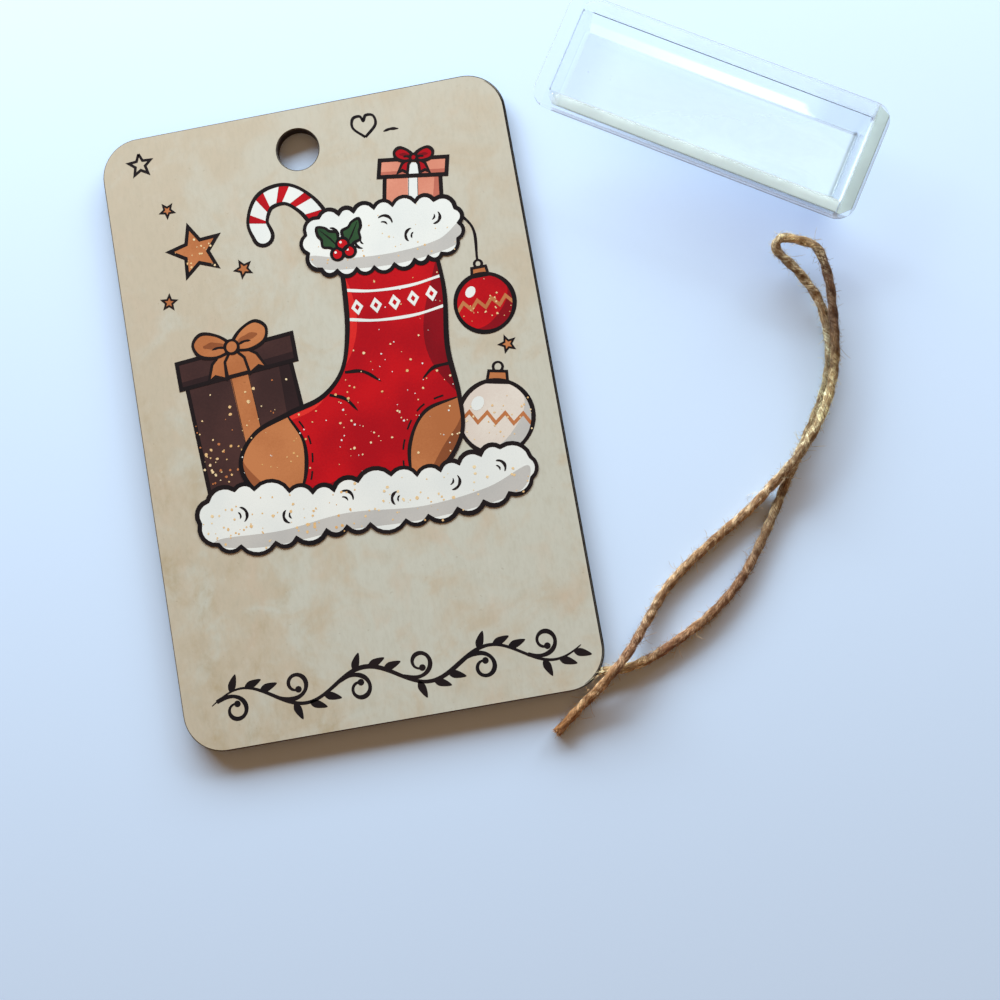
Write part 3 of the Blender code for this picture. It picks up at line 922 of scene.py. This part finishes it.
def smooth_path(points, closed=False, steps=8):
    """A smooth curve through points of the drawing, in millimetres."""
    given = [np.array(point, float) for point in points]
    if closed:
        given = [given[-1]] + given + [given[0], given[1]]
    else:
        given = [2 * given[0] - given[1]] + given + [2 * given[-1] - given[-2]]
    path = []
    for before, start, stop, after in zip(given, given[1:], given[2:], given[3:]):
        for step in range(steps):
            t = step / steps
            path.append(0.5 * (
                2 * start + (stop - before) * t + (2 * before - 5 * start + 4 * stop - after) * t ** 2
                + (3 * start - before - 3 * stop + after) * t ** 3))
    if not closed:
        path.append(given[-2])
    return np.array(path)


def normals_of(path, closed=False):
    """Directions to the left of a path, lengthened at its corners so that a line keeps its width."""
    runs = np.roll(path, -1, axis=0) - path
    if not closed:
        runs[-1] = runs[-2]
    runs = unit(runs, 1e-9)
    before = np.roll(runs, 1, axis=0)
    if not closed:
        before[0] = runs[0]
    middle = unit(runs + before, 1e-9)
    turn = np.maximum((middle * runs).sum(axis=1, keepdims=True), LEAST_CORNER_COSINE)
    return np.stack([-middle[:, 1], middle[:, 0]], axis=1) / turn


def placed(points, place=(0.0, 0.0), turn=0.0, size=1.0):
    """Points turned by some degrees, scaled and moved."""
    angle = math.radians(turn)
    rotation = np.array([[math.cos(angle), math.sin(angle)], [-math.sin(angle), math.cos(angle)]])
    return np.array(points, float) @ rotation * size + np.array(place)


def circle(place, radius, steps=40, squash=1.0, start=0.0, stop=360.0):
    """Points round a circle or an arc of one, in degrees."""
    angles = np.radians(np.linspace(start, stop, steps, endpoint=stop - start < 360.0))
    return np.stack([place[0] + radius * np.cos(angles), place[1] + radius * squash * np.sin(angles)], axis=1)


def on_ring(place, radius, degrees):
    """The point of a circle at some degrees."""
    angle = math.radians(degrees)
    return (place[0] + radius * math.cos(angle), place[1] + radius * math.sin(angle))


def star_corners(place, outer, inner, turn=0.0, count=10):
    """Corners of a five-pointed star, anticlockwise from its top."""
    return np.array([on_ring(place, inner if k % 2 else outer, 90 + 36 * k + turn) for k in range(count)])


def scallops(path, size, depth, dice):
    """A fluffy edge: arcs that bulge to the right of a closed path, of uneven size."""
    lengths = np.linalg.norm(np.roll(path, -1, axis=0) - path, axis=1)
    stations = np.concatenate([[0.0], np.cumsum(lengths)])
    ring = np.concatenate([path, path[:1]])
    count = max(4, int(round(stations[-1] / size)))
    shares = np.array([dice.uniform(0.7, 1.3) for _ in range(count)])
    ends = np.concatenate([[0.0], np.cumsum(shares / shares.sum())]) * stations[-1]
    corners = np.stack([np.interp(ends, stations, ring[:, k]) for k in range(2)], axis=1)
    edge = []
    for start, stop in zip(corners, corners[1:]):
        run = stop - start
        out = np.array((run[1], -run[0]))
        for t in np.linspace(0, 1, 7)[:-1]:
            edge.append(start + run * t + out * depth * math.sin(math.pi * t) ** 0.7)
    return np.array(edge)


def stretch_of(outline, start, stop):
    """The part of a closed outline between the points nearest to two places, in its own direction."""
    first = int(np.argmin(np.linalg.norm(outline - np.array(start), axis=1)))
    last = int(np.argmin(np.linalg.norm(outline - np.array(stop), axis=1)))
    if last < first:
        return np.concatenate([outline[first:], outline[:last + 1]])
    return outline[first:last + 1]


def crescent(stretch, depth):
    """A shade that follows a stretch of an outline and reaches to its left."""
    bulge = np.sin(np.linspace(0, math.pi, len(stretch)))[:, None]
    inner = stretch + normals_of(stretch) * depth * bulge
    return np.concatenate([stretch, inner[-2:0:-1]])


def inside(point, outline):
    """Whether a point lies inside a closed outline."""
    x, y = point
    found = False
    for (x0, y0), (x1, y1) in zip(outline, np.roll(outline, -1, axis=0)):
        if (y0 > y) != (y1 > y) and x < (x1 - x0) * (y - y0) / (y1 - y0) + x0:
            found = not found
    return found


class Drawing:
    """Flat shapes of ink, each a thin plate just above the printed face, gathered by ink."""

    def __init__(self):
        self.inks = {}
        self.dice = random.Random(SPECK_SEED)
        self.count = 0

    def height(self, level):
        """The underside of the next plate at a level, clear of the last plates at the same level."""
        self.count += 1
        return PRINT_TOP + level * INK_STEP + self.count % INK_SHIFTS * INK_SHIFT

    def plate(self, ink, outline, level):
        """A closed plate of this outline."""
        points, faces = self.inks.setdefault(ink, ([], []))
        outline = [Vector((x, y, 0.0)) for x, y in outline]
        low = self.height(level)
        first, count = len(points), len(outline)
        for height in (low, low + INK_THICKNESS):
            points += [(point.x * MM, point.y * MM, height) for point in outline]
        area = sum(a.x * b.y - a.y * b.x for a, b in zip(outline, outline[1:] + outline[:1]))
        for triangle in tessellate_polygon([outline]):
            a, b, c = (outline[k] for k in triangle)
            if ((b - a).cross(c - a)).z < 0:
                triangle = triangle[::-1]
            faces.append(tuple(first + count + k for k in triangle))
            faces.append(tuple(first + k for k in triangle[::-1]))
        for k in range(count):
            after = (k + 1) % count
            side = (first + k, first + after, first + count + after, first + count + k)
            faces.append(side if area > 0 else side[::-1])

    def line(self, ink, path, width, level, tips=(0.25, 0.25), closed=False):
        """A brush line: a strip along the path that thins towards its tips."""
        path = np.asarray(path, float)
        points, faces = self.inks.setdefault(ink, ([], []))
        share = np.linspace(0, 1, len(path))
        swell = np.ones(len(path))
        if not closed:
            for tip, distance in zip(tips, (share, 1 - share)):
                swell = np.minimum(swell, tip + (1 - tip) * np.sqrt(np.clip(distance / TIP_SHARE, 0, 1)))
        if len(path) > 12:
            waves = np.round(2 + len(path) / 60)
            swell = swell * (1 + HAND_SWELL * np.sin(2 * math.pi * waves * share + len(points)))
        across = normals_of(path, closed) * (width / 2 * swell)[:, None]
        low = self.height(level)
        high = low + INK_THICKNESS
        first = len(points)
        for left, right in zip(path + across, path - across):
            for (x, y), height in ((right, low), (left, low), (left, high), (right, high)):
                points.append((x * MM, y * MM, height))
        faces += [face[::-1] for face in tube_faces(len(path), 4, first, closed)]

    def shape(self, ink, outline, level, width):
        """A filled shape with a black line round it."""
        self.plate(ink, outline, level)
        self.line("black", outline, width, level + 2, closed=True)

    def shades(self, outline, level, rows):
        """Crescents along stretches of an outline, each (ink, from, to, depth)."""
        for ink, start, stop, depth in rows:
            self.plate(ink, crescent(stretch_of(outline, start, stop), depth), level)

    def sprinkle(self, ink, outline, level, count, sizes):
        """Uneven specks scattered inside an outline, with most of them low down."""
        outline = np.asarray(outline)
        (x0, y0), (x1, y1) = outline.min(0), outline.max(0)
        while count:
            x = self.dice.uniform(x0, x1)
            y = self.dice.triangular(y0, y1, y0 + 0.25 * (y1 - y0))
            if not inside((x, y), outline):
                continue
            radius = self.dice.uniform(*sizes) * self.dice.choice((0.6, 0.8, 1.0))
            self.plate(ink, [(
                x + radius * self.dice.uniform(0.7, 1.1) * math.cos(2 * math.pi * k / SPECK_CORNERS),
                y + radius * self.dice.uniform(0.7, 1.1) * math.sin(2 * math.pi * k / SPECK_CORNERS))
                for k in range(SPECK_CORNERS)], level)
            count -= 1

    def make(self):
        """The pieces of the print, one for each ink."""
        for ink, (points, faces) in self.inks.items():
            colour, accent, slot = INKS[ink]
            piece = add_mesh("print_" + ink, points, faces, ink_surface(ink, colour, accent), smooth=False)
            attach(piece, "tag")


def ink_surface(name, colour, accent):
    """Ink under the coat of the face, a little uneven, between its own colour and an accent."""
    ink = Surface("ink_" + name, colour, COAT_ROUGHNESS, Specular_IOR_Level=0.12)
    wash = ink.noise(ink.object_place(), 55.0, 2.0)
    grain = ink.noise(ink.object_place(), 2200.0, 2.0)
    tone = (wash * 0.8 + grain * 0.2).ramp(0.35, 0.65)
    ink.set(Base_Color=ink.mix(tone, colour, accent))
    return ink


def draw_star(art, place, radius, turn, width):
    corners = star_corners(place, radius, radius * 0.46, turn)
    art.shape("tan", corners, 1, width)
    return corners


def draw_bow(art, ink, shade, place, size, level, turn):
    """Two loops, two tails and a knot."""
    def put(points, side=1):
        return placed(np.array(points) * (side, 1), place, turn, size)

    for side in (-1, 1):
        art.shape(ink, put([
            (0, 0), (0.35, -0.45), (0.42, -1.05), (0.78, -0.86), (1.05, -1), (0.8, -0.42), (0.25, 0.02)],
            side), level, PEN)
        art.shape(ink, put(smooth_path([
            (0, 0), (0.35, 0.48), (0.95, 0.72), (1.32, 0.42), (1.15, -0.05), (0.55, -0.22)], closed=True),
            side), level + 3, 0.8)
        fold = put(smooth_path([(0.2, 0.08), (0.6, 0.22), (0.98, 0.25)]), side)
        art.line(shade, fold, size * 0.22, level + 4)
        crease = put(smooth_path([(0.18, 0.02), (0.45, 0.1), (0.7, 0.08)]), side)
        art.line("black", crease, 0.6, level + 5)
    art.shape(ink, put(circle((0, 0.02), 0.24, 18)), level + 6, PEN)


def draw_box(art, inks, place, size, level, turn):
    """A wrapped box with its lid and a band of ribbon."""
    paper, shade, ribbon = inks
    width, height, lid = size
    half, band, top = width / 2, width * 0.17 / 2, height + lid

    def put(*points):
        return placed(points, place, turn)

    body = put((-half, 0), (half, 0.4), (half - 0.5, height), (-half + 0.3, height))
    art.plate(paper, body, level)
    shaded = put((half - width * 0.2, 0.3), (half, 0.4), (half - 0.5, height), (half - width * 0.13, height))
    art.plate(shade, shaded, level + 1)
    art.plate(ribbon, put((-band, 0), (band, 0.1), (band, height), (-band, height)), level + 1)
    art.line("black", put((-band, 0.6), (-band + 0.2, height)), 0.6, level + 2)
    art.line("black", put((band, 0.6), (band - 0.1, height)), 0.6, level + 2)
    art.line("black", body[[3, 0, 1, 2]], THICK_PEN, level + 2, EVEN)
    cover = put(
        (-half - 1.2, height - 0.4), (half + 1.0, height - 0.2), (half + 1.3, top), (-half - 0.9, top - 0.4))
    art.plate(paper, cover, level + 3)
    art.plate(shade, put(
        (-half - 1.0, height - 0.3), (half + 1.0, height - 0.2), (half + 1.0, height + lid * 0.3),
        (-half - 1.0, height + lid * 0.2)), level + 4)
    art.plate(ribbon, put(
        (-band - 0.2, height - 0.3), (band + 0.2, height - 0.3), (band + 0.3, top - 0.1),
        (-band - 0.1, top - 0.2)), level + 5)
    art.line("black", cover, THICK_PEN, level + 6, closed=True)
    return body


def draw_cane(art, path, half_width, level):
    """A striped candy cane along its middle line."""
    path = smooth_path(path, steps=12)
    left = path + normals_of(path) * half_width
    right = path - normals_of(path) * half_width
    cap = circle(path[-1], half_width, 12, start=0, stop=180)
    heading = math.degrees(math.atan2(*(path[-1] - path[-2])[::-1]))
    cap = placed(cap - path[-1], path[-1], heading - 90)
    art.shape("white", np.concatenate([right, cap[1:-1], left[::-1]]), level, 0.9)
    for start in range(2, len(path) - 9, 11):
        near, far = right[start + 4], left[min(start + 8, len(path) - 1)]
        art.plate("red", [right[start], near, far, left[start + 4]], level + 1)
        art.line("dark_red", [near, far], 0.35, level + 1)


def draw_bauble(art, ink, shade, place, radius, level, turn=0.0):
    """A round ornament with a zigzag band and a cap."""
    ball = circle(place, radius, 48)
    cap = placed([(-0.28, 0.93), (0.28, 0.93), (0.24, 1.24), (-0.24, 1.24)], place, turn, radius)
    art.shape("tan", cap, level, PEN)
    art.line("black", placed(circle((0, 1.36), 0.13, 14), place, turn, radius), 0.6, level, closed=True)
    art.plate(ink, ball, level + 1)
    art.plate(shade, crescent(circle(place, radius, 30, start=-125, stop=35), radius * 0.42), level + 2)
    gleam = circle((place[0] - radius * 0.42, place[1] + radius * 0.45), radius * 0.16, 14, 1.3)
    art.plate("white", placed(gleam - gleam.mean(0), gleam.mean(0), -40), level + 3)
    zigzag = [(-0.96 + 0.24 * k, 0.12 if k % 2 else -0.16) for k in range(9)]
    art.line("tan", placed(zigzag, place, turn, radius), 0.8, level + 3, EVEN)
    art.line("black", ball, THICK_PEN, level + 4, closed=True)
    return ball


def draw_stocking(art, level):
    """A red stocking with tan heel and toe."""
    outline = smooth_path([
        (27.5, 37), (28.2, 24), (26.6, 10), (27.4, -2), (26.4, -11.5), (20, -19), (10, -21.8), (-4, -21.4),
        (-16.5, -20.9), (-25, -16.4), (-27.6, -9), (-23, -2.4), (-14, 0.9), (-5.5, 3.4), (0.4, 9), (3.2, 18),
        (4.2, 28), (4.4, 37.5)], steps=9)
    art.plate("red", outline, level)
    art.shades(outline, level + 1, (
        ("dark_red", (27.9, 33), (27.3, -2), -5.5), ("dark_red", (13, -21.3), (-15, -20.9), -4.5),
        ("light_red", (0.4, 9), (4.2, 33), -2.4), ("light_red", (-20, -1.4), (-4, 4), -1.9)))
    for start, stop, seam in (
            ((27.3, -2.4), (12.6, -21.7), [(12.6, -21.7), (13.6, -12), (18.5, -4.6), (27.3, -2.4)]),
            ((-15.8, -20.9), (-14.6, 0.6), [(-14.6, 0.6), (-11.6, -6.5), (-12.4, -14.5), (-15.8, -20.9)])):
        edge = smooth_path(seam)
        art.plate("tan", np.concatenate([stretch_of(outline, start, stop), edge[1:-1]]), level + 2)
        art.line("black", edge, 0.9, level + 4)
        stitches = edge + normals_of(edge) * 1.5
        for k in range(3, len(stitches) - 4, 4):
            art.line("black", stitches[k:k + 3], 0.42, level + 4, EVEN)
    art.shades(outline, level + 3, (
        ("dark_tan", (26.9, -6), (15, -20.9), -3), ("dark_tan", (-17, -20.8), (-27.2, -7), -2.6)))
    art.line("black", outline, 1.15, level + 4, EVEN)
    for fold in (
            [(1, 8.4), (5.4, 7.8), (9.4, 4.6)], [(-3.6, 3.6), (0, 2), (2.6, -1.4)],
            [(26.4, 6), (22.4, 5.6), (19.4, 3.4)]):
        art.line("black", smooth_path(fold), 0.8, level + 4, (0.9, 0.1))
    draw_knit_band(art, level + 3)
    art.sprinkle("gold", outline, level + 5, 85, (0.14, 0.42))
    art.sprinkle("white", outline, level + 5, 45, (0.12, 0.32))


def draw_knit_band(art, level):
    """Two lines and a row of lozenges round the stocking's leg."""
    for rise in (0.0, 7.4):
        line = np.array([(4.2, 21.0), (11.0, 19.6), (20.0, 19.2), (27.9, 20.2)]) + (0, rise)
        art.line("white", smooth_path(line), PEN, level, EVEN)
    for k in range(5):
        x, y = 6.6 + 4.6 * k, 23.2 + 0.12 * (k - 2) ** 2
        for ink, wide, high, lift in (("white", 1.5, 2.0, 0), ("red", 0.6, 0.8, 1)):
            art.plate(ink, [(x - wide, y), (x, y - high), (x + wide, y), (x, y + high)], level + lift)


def draw_curls(art, places, level):
    """Pairs of short arcs inside a fluffy shape."""
    for x, y, radius, turn in places:
        for share, sweep, shift, width in ((1.0, 135, 0.0, PEN), (0.55, 100, -0.35, THIN_PEN)):
            middle = on_ring((x, y), shift * radius, turn)
            curl = circle(middle, radius * share, 16, start=turn - sweep / 2, stop=turn + sweep / 2)
            art.line("black", curl, width, level, (0.1, 0.1))


def draw_fluff(art, level, seed, bulges, width, specks, base, under, curls):
    """A fluffy white shape with a shaded foot, curls and golden specks."""
    edge = scallops(smooth_path(base, closed=True), *bulges, random.Random(seed))
    art.plate("white", edge, level)
    art.plate("shade", smooth_path(under, closed=True), level + 1)
    art.line("black", edge, width, level + 2, closed=True)
    draw_curls(art, curls, level + 2)
    art.sprinkle("gold", edge, level + 3, *specks)


def draw_cuff(art, level):
    """The stocking's cuff."""
    base = [
        (-0.5, 34.5), (8, 33), (20, 32.4), (31.5, 33.6), (34.6, 39.5), (32.6, 45.8), (20, 47.2), (8, 47.6),
        (-0.8, 47), (-3.4, 41)]
    under = [
        (-2.6, 38.4), (6, 36.2), (18, 35.4), (29, 36.6), (34.8, 40), (33, 34.6), (20, 32.6), (8, 33.2),
        (-0.6, 34.8)]
    curls = [
        (3, 42.5, 1.9, 20), (10.5, 39.6, 1.7, 200), (16.5, 43, 2, 60), (23, 38.8, 1.8, 160),
        (28.6, 42.4, 1.7, 330)]
    draw_fluff(art, level, 3, (4.6, 0.30), THICK_PEN, (34, (0.14, 0.38)), base, under, curls)


def draw_holly(art, place, level):
    """Two spiny leaves and three berries."""
    for turn in (38, -34):
        spines = [(2 * math.sin(math.pi * k / 6) * (1.25 if k % 2 else 0.85), 9 * k / 6) for k in range(7)]
        mirrored = [(-x, y) for x, y in reversed(spines[1:-1])]
        leaf = placed(smooth_path(spines + mirrored, closed=True, steps=4), place, turn)
        art.shape("green", leaf, level, PEN)
        art.line("black", placed([(0, 0.8), (0.2, 4.5), (0, 8)], place, turn), THIN_PEN, level + 2)
    for dx, dy in ((-1.5, -0.4), (1.5, -0.2), (0.1, 1.9)):
        x, y = place[0] + dx, place[1] + dy
        art.shape("red", circle((x, y), 1.5, 20), level + 3, PEN)
        art.plate("white", circle((x - 0.4, y + 0.5), 0.32, 10), level + 4)


def draw_snow(art, level):
    """A low bank of snow that everything stands in."""
    base = [
        (-36, -27.5), (-24, -29.5), (-6, -28.8), (12, -29.8), (30, -28.6), (40, -26), (42, -20.6),
        (36, -16.4), (26, -18), (16, -19.4), (4, -17.6), (-8, -19.2), (-19, -17.2), (-30, -15),
        (-38, -17.2), (-39.6, -23)]
    under = [
        (-35, -26.2), (-20, -26.8), (-4, -25.4), (14, -27), (30, -25.4), (40.6, -21.8), (38.4, -27.2),
        (28, -29.4), (12, -30.2), (-6, -29.4), (-24, -30), (-35.8, -28)]
    curls = [
        (-30, -21.4, 2, 10), (-17.5, -23.6, 1.8, 190), (-4, -22, 2, 50), (9, -24.2, 1.8, 160),
        (22, -22.4, 2, 330), (33.5, -21.2, 1.8, 30)]
    draw_fluff(art, level, 8, (6.4, 0.26), 1.05, (120, (0.16, 0.5)), base, under, curls)


def tendril(start, heading, length, bend, side):
    """A curl that winds up ever tighter, from a place and heading in degrees."""
    share = np.linspace(0, 1, 46)
    angles = math.radians(heading) + side * bend * share ** 1.7
    steps = np.stack([np.cos(angles), np.sin(angles)], axis=1) * length / (len(share) - 1)
    return np.array(start) + np.cumsum(steps, axis=0)


def draw_flourish(art, level):
    """A vine with curls, leaves and berries along the foot of the tag, where a motto would stand."""
    start, stop, rise, swing, wave = VINE

    def stem(x):
        return np.array((x, rise + swing * math.sin(2 * math.pi * (x - start) / wave)))

    def slope(x):
        steepest = 2 * math.pi * swing / wave
        return math.degrees(math.atan(steepest * math.cos(2 * math.pi * (x - start) / wave)))

    art.line("black", [stem(x) for x in np.linspace(start, stop, 150)], THICK_PEN, level, (0.2, 0.2))
    leaf = smooth_path([(0, 0), (1.05, 1.5), (0.25, 4.4), (-0.85, 1.7)], closed=True, steps=6)
    for k in range(6):
        side = 1 if k % 2 else -1
        x = start + wave * (0.03 + k / 2)
        curl = tendril(stem(x), slope(x) + side * 8, 18.5, 6.9, side)
        art.line("black", curl, THICK_PEN, level, (0.9, 0.3))
        art.plate("black", circle(curl[-1], 0.8, 14), level)
        for shift, lean in ((0.13, 50), (0.25, 28), (0.37, 44)):
            base = x + wave * shift
            if base < stop - 1:
                art.plate("black", placed(leaf, stem(base), slope(base) - side * lean - 90), level)


def draw_right_edge_shade(art, level):
    """A painted shade line along the right side, from corner to corner, where the board's side and its shadow
    show.
    """
    outline = rounded_outline(*RIM_LINE, RIM_STEPS)
    quarter = RIM_STEPS + 1
    below, above = RIM_ENDS
    art.line("black", outline[3 * quarter + below:] + outline[:quarter - above], 0.3, level, (0.2, 0.2))


def draw_marks(art, level):
    """Small icons at the top corners, in place of written words."""
    for path in (
            star_corners((-41.0, 69.3), 2.9, 1.3, count=11),
            smooth_path([
                (15.6, 65.4), (12.9, 68.2), (13.2, 70.6), (15, 70.9), (15.7, 69.6), (16.5, 70.9),
                (18.3, 70.5), (18.5, 68.1), (15.6, 65.4)])):
        art.line("black", path, 0.72, level, (0.9, 0.9))
    art.line("black", smooth_path([(20.2, 66), (22, 66.3), (24, 66)]), 0.72, level)


def print_artwork():
    """A seasonal picture of the maker's own: stocking, presents, candy cane and baubles in snow."""
    art = Drawing()
    draw_box(art, ("salmon", "dark_salmon", "white"), (23.5, 41.0), (14.5, 13.0, 4.2), 1, -9)
    draw_bow(art, "red", "dark_red", (26.4, 58.0), 3.6, 8, -9)
    cane = [(4.5, 40), (1.5, 46), (-1.6, 51.4), (-6.2, 55), (-11.6, 54.2), (-14.2, 49.6), (-13.4, 45.6)]
    draw_cane(art, cane, 2.4, 2)
    body = draw_box(art, ("brown", "dark_brown", "tan"), (-22.5, -18.0), (27.0, 31.0, 6.5), 1, 4)
    draw_bow(art, "tan", "dark_tan", (-25.4, 19.6), 7.0, 8, 4)
    art.sprinkle("gold", body, 6, 90, (0.16, 0.5))
    art.sprinkle("tan", body, 6, 40, (0.16, 0.42))
    art.line("black", smooth_path([(33, 44), (37.6, 38), (37.4, 30)]), PEN, 1, EVEN)
    ball = draw_bauble(art, "red", "dark_red", (37.4, 19.0), 7.2, 2)
    art.sprinkle("gold", ball, 7, 26, (0.14, 0.36))
    pearl = draw_bauble(art, "cream", "shade", (35.2, -9.0), 9.0, 2, -12)
    art.sprinkle("gold", pearl, 7, 34, (0.14, 0.42))
    draw_stocking(art, 16)
    draw_cuff(art, 22)
    draw_holly(art, (5.5, 38.0), 26)
    draw_snow(art, 24)
    star = draw_star(art, (-30.5, 45.0), 6.6, 9, 0.9)
    art.sprinkle("gold", star, 5, 18, (0.14, 0.4))
    for place, radius, turn in (
            ((-19.5, 38.4), 2.1, 20), ((-39, 33.5), 1.8, -10), ((41, 8), 1.9, 12), ((-36, 56.5), 1.7, 30)):
        draw_star(art, place, radius, turn, 0.5)
    draw_flourish(art, 1)
    draw_right_edge_shade(art, 1)
    draw_marks(art, 1)
    art.make()


def add_stage():
    """The floor, which fades into the backdrop far from the part."""
    half = FLOOR_SIZE / 2
    corners = [(x, y, -FLOOR_DROP) for x, y in ((-half, -half), (half, -half), (half, half), (-half, half))]
    paint = Surface("floor", FLOOR_COLOUR, 0.75, Specular_IOR_Level=0.2)
    away = paint.node("VectorMath", {0: paint.object_place()}, operation="LENGTH").outputs["Value"]
    gone = Field(paint, away).ramp(*BACKDROP_REACH) * paint.rays("Camera", "Glossy", "Transmission")
    paint.cover(gone, "Emission", BACKDROP_COLOUR)
    floor = add_mesh("floor", corners, [(0, 1, 2, 3)], paint, smooth=False)


def add_window(name, distance, turn, width, foot, top, watts):
    """One wide window light beyond the top of the picture, aimed at the tag."""
    data = bpy.data.lights.new(name, "AREA")
    data.shape = "RECTANGLE"
    data.size = width
    data.size_y = top - foot
    data.energy = watts
    data.color = WINDOW_COLOUR
    light = bpy.data.objects.new(name, data)
    bpy.context.scene.collection.objects.link(light)
    heading = CAMERA_TURN + turn
    light.location = (distance * math.sin(heading), distance * math.cos(heading), (top + foot) / 2)
    aim = CAMERA_AIM - light.location
    light.rotation_euler = aim.to_track_quat("-Z", "Y").to_euler()


def set_world():
    """The room's warm fill light, with the backdrop in its place where it can be seen."""
    world = bpy.data.worlds.new("world")
    bpy.context.scene.world = world
    world.use_nodes = True
    room = Nodes(world.node_tree)
    colour = room.mix(room.rays("Camera", "Glossy", "Transmission"), ROOM_COLOUR, BACKDROP_COLOUR)
    room.put(colour, room.tree.nodes["Background"].inputs["Color"])
    bpy.context.scene.view_settings.view_transform = "Standard"


set_camera()
make_twine()
make_pouch()
finish_strips()
finish_tag()
print_artwork()
add_stage()
for name, window in WINDOWS.items():
    add_window(name, *window)
set_world()
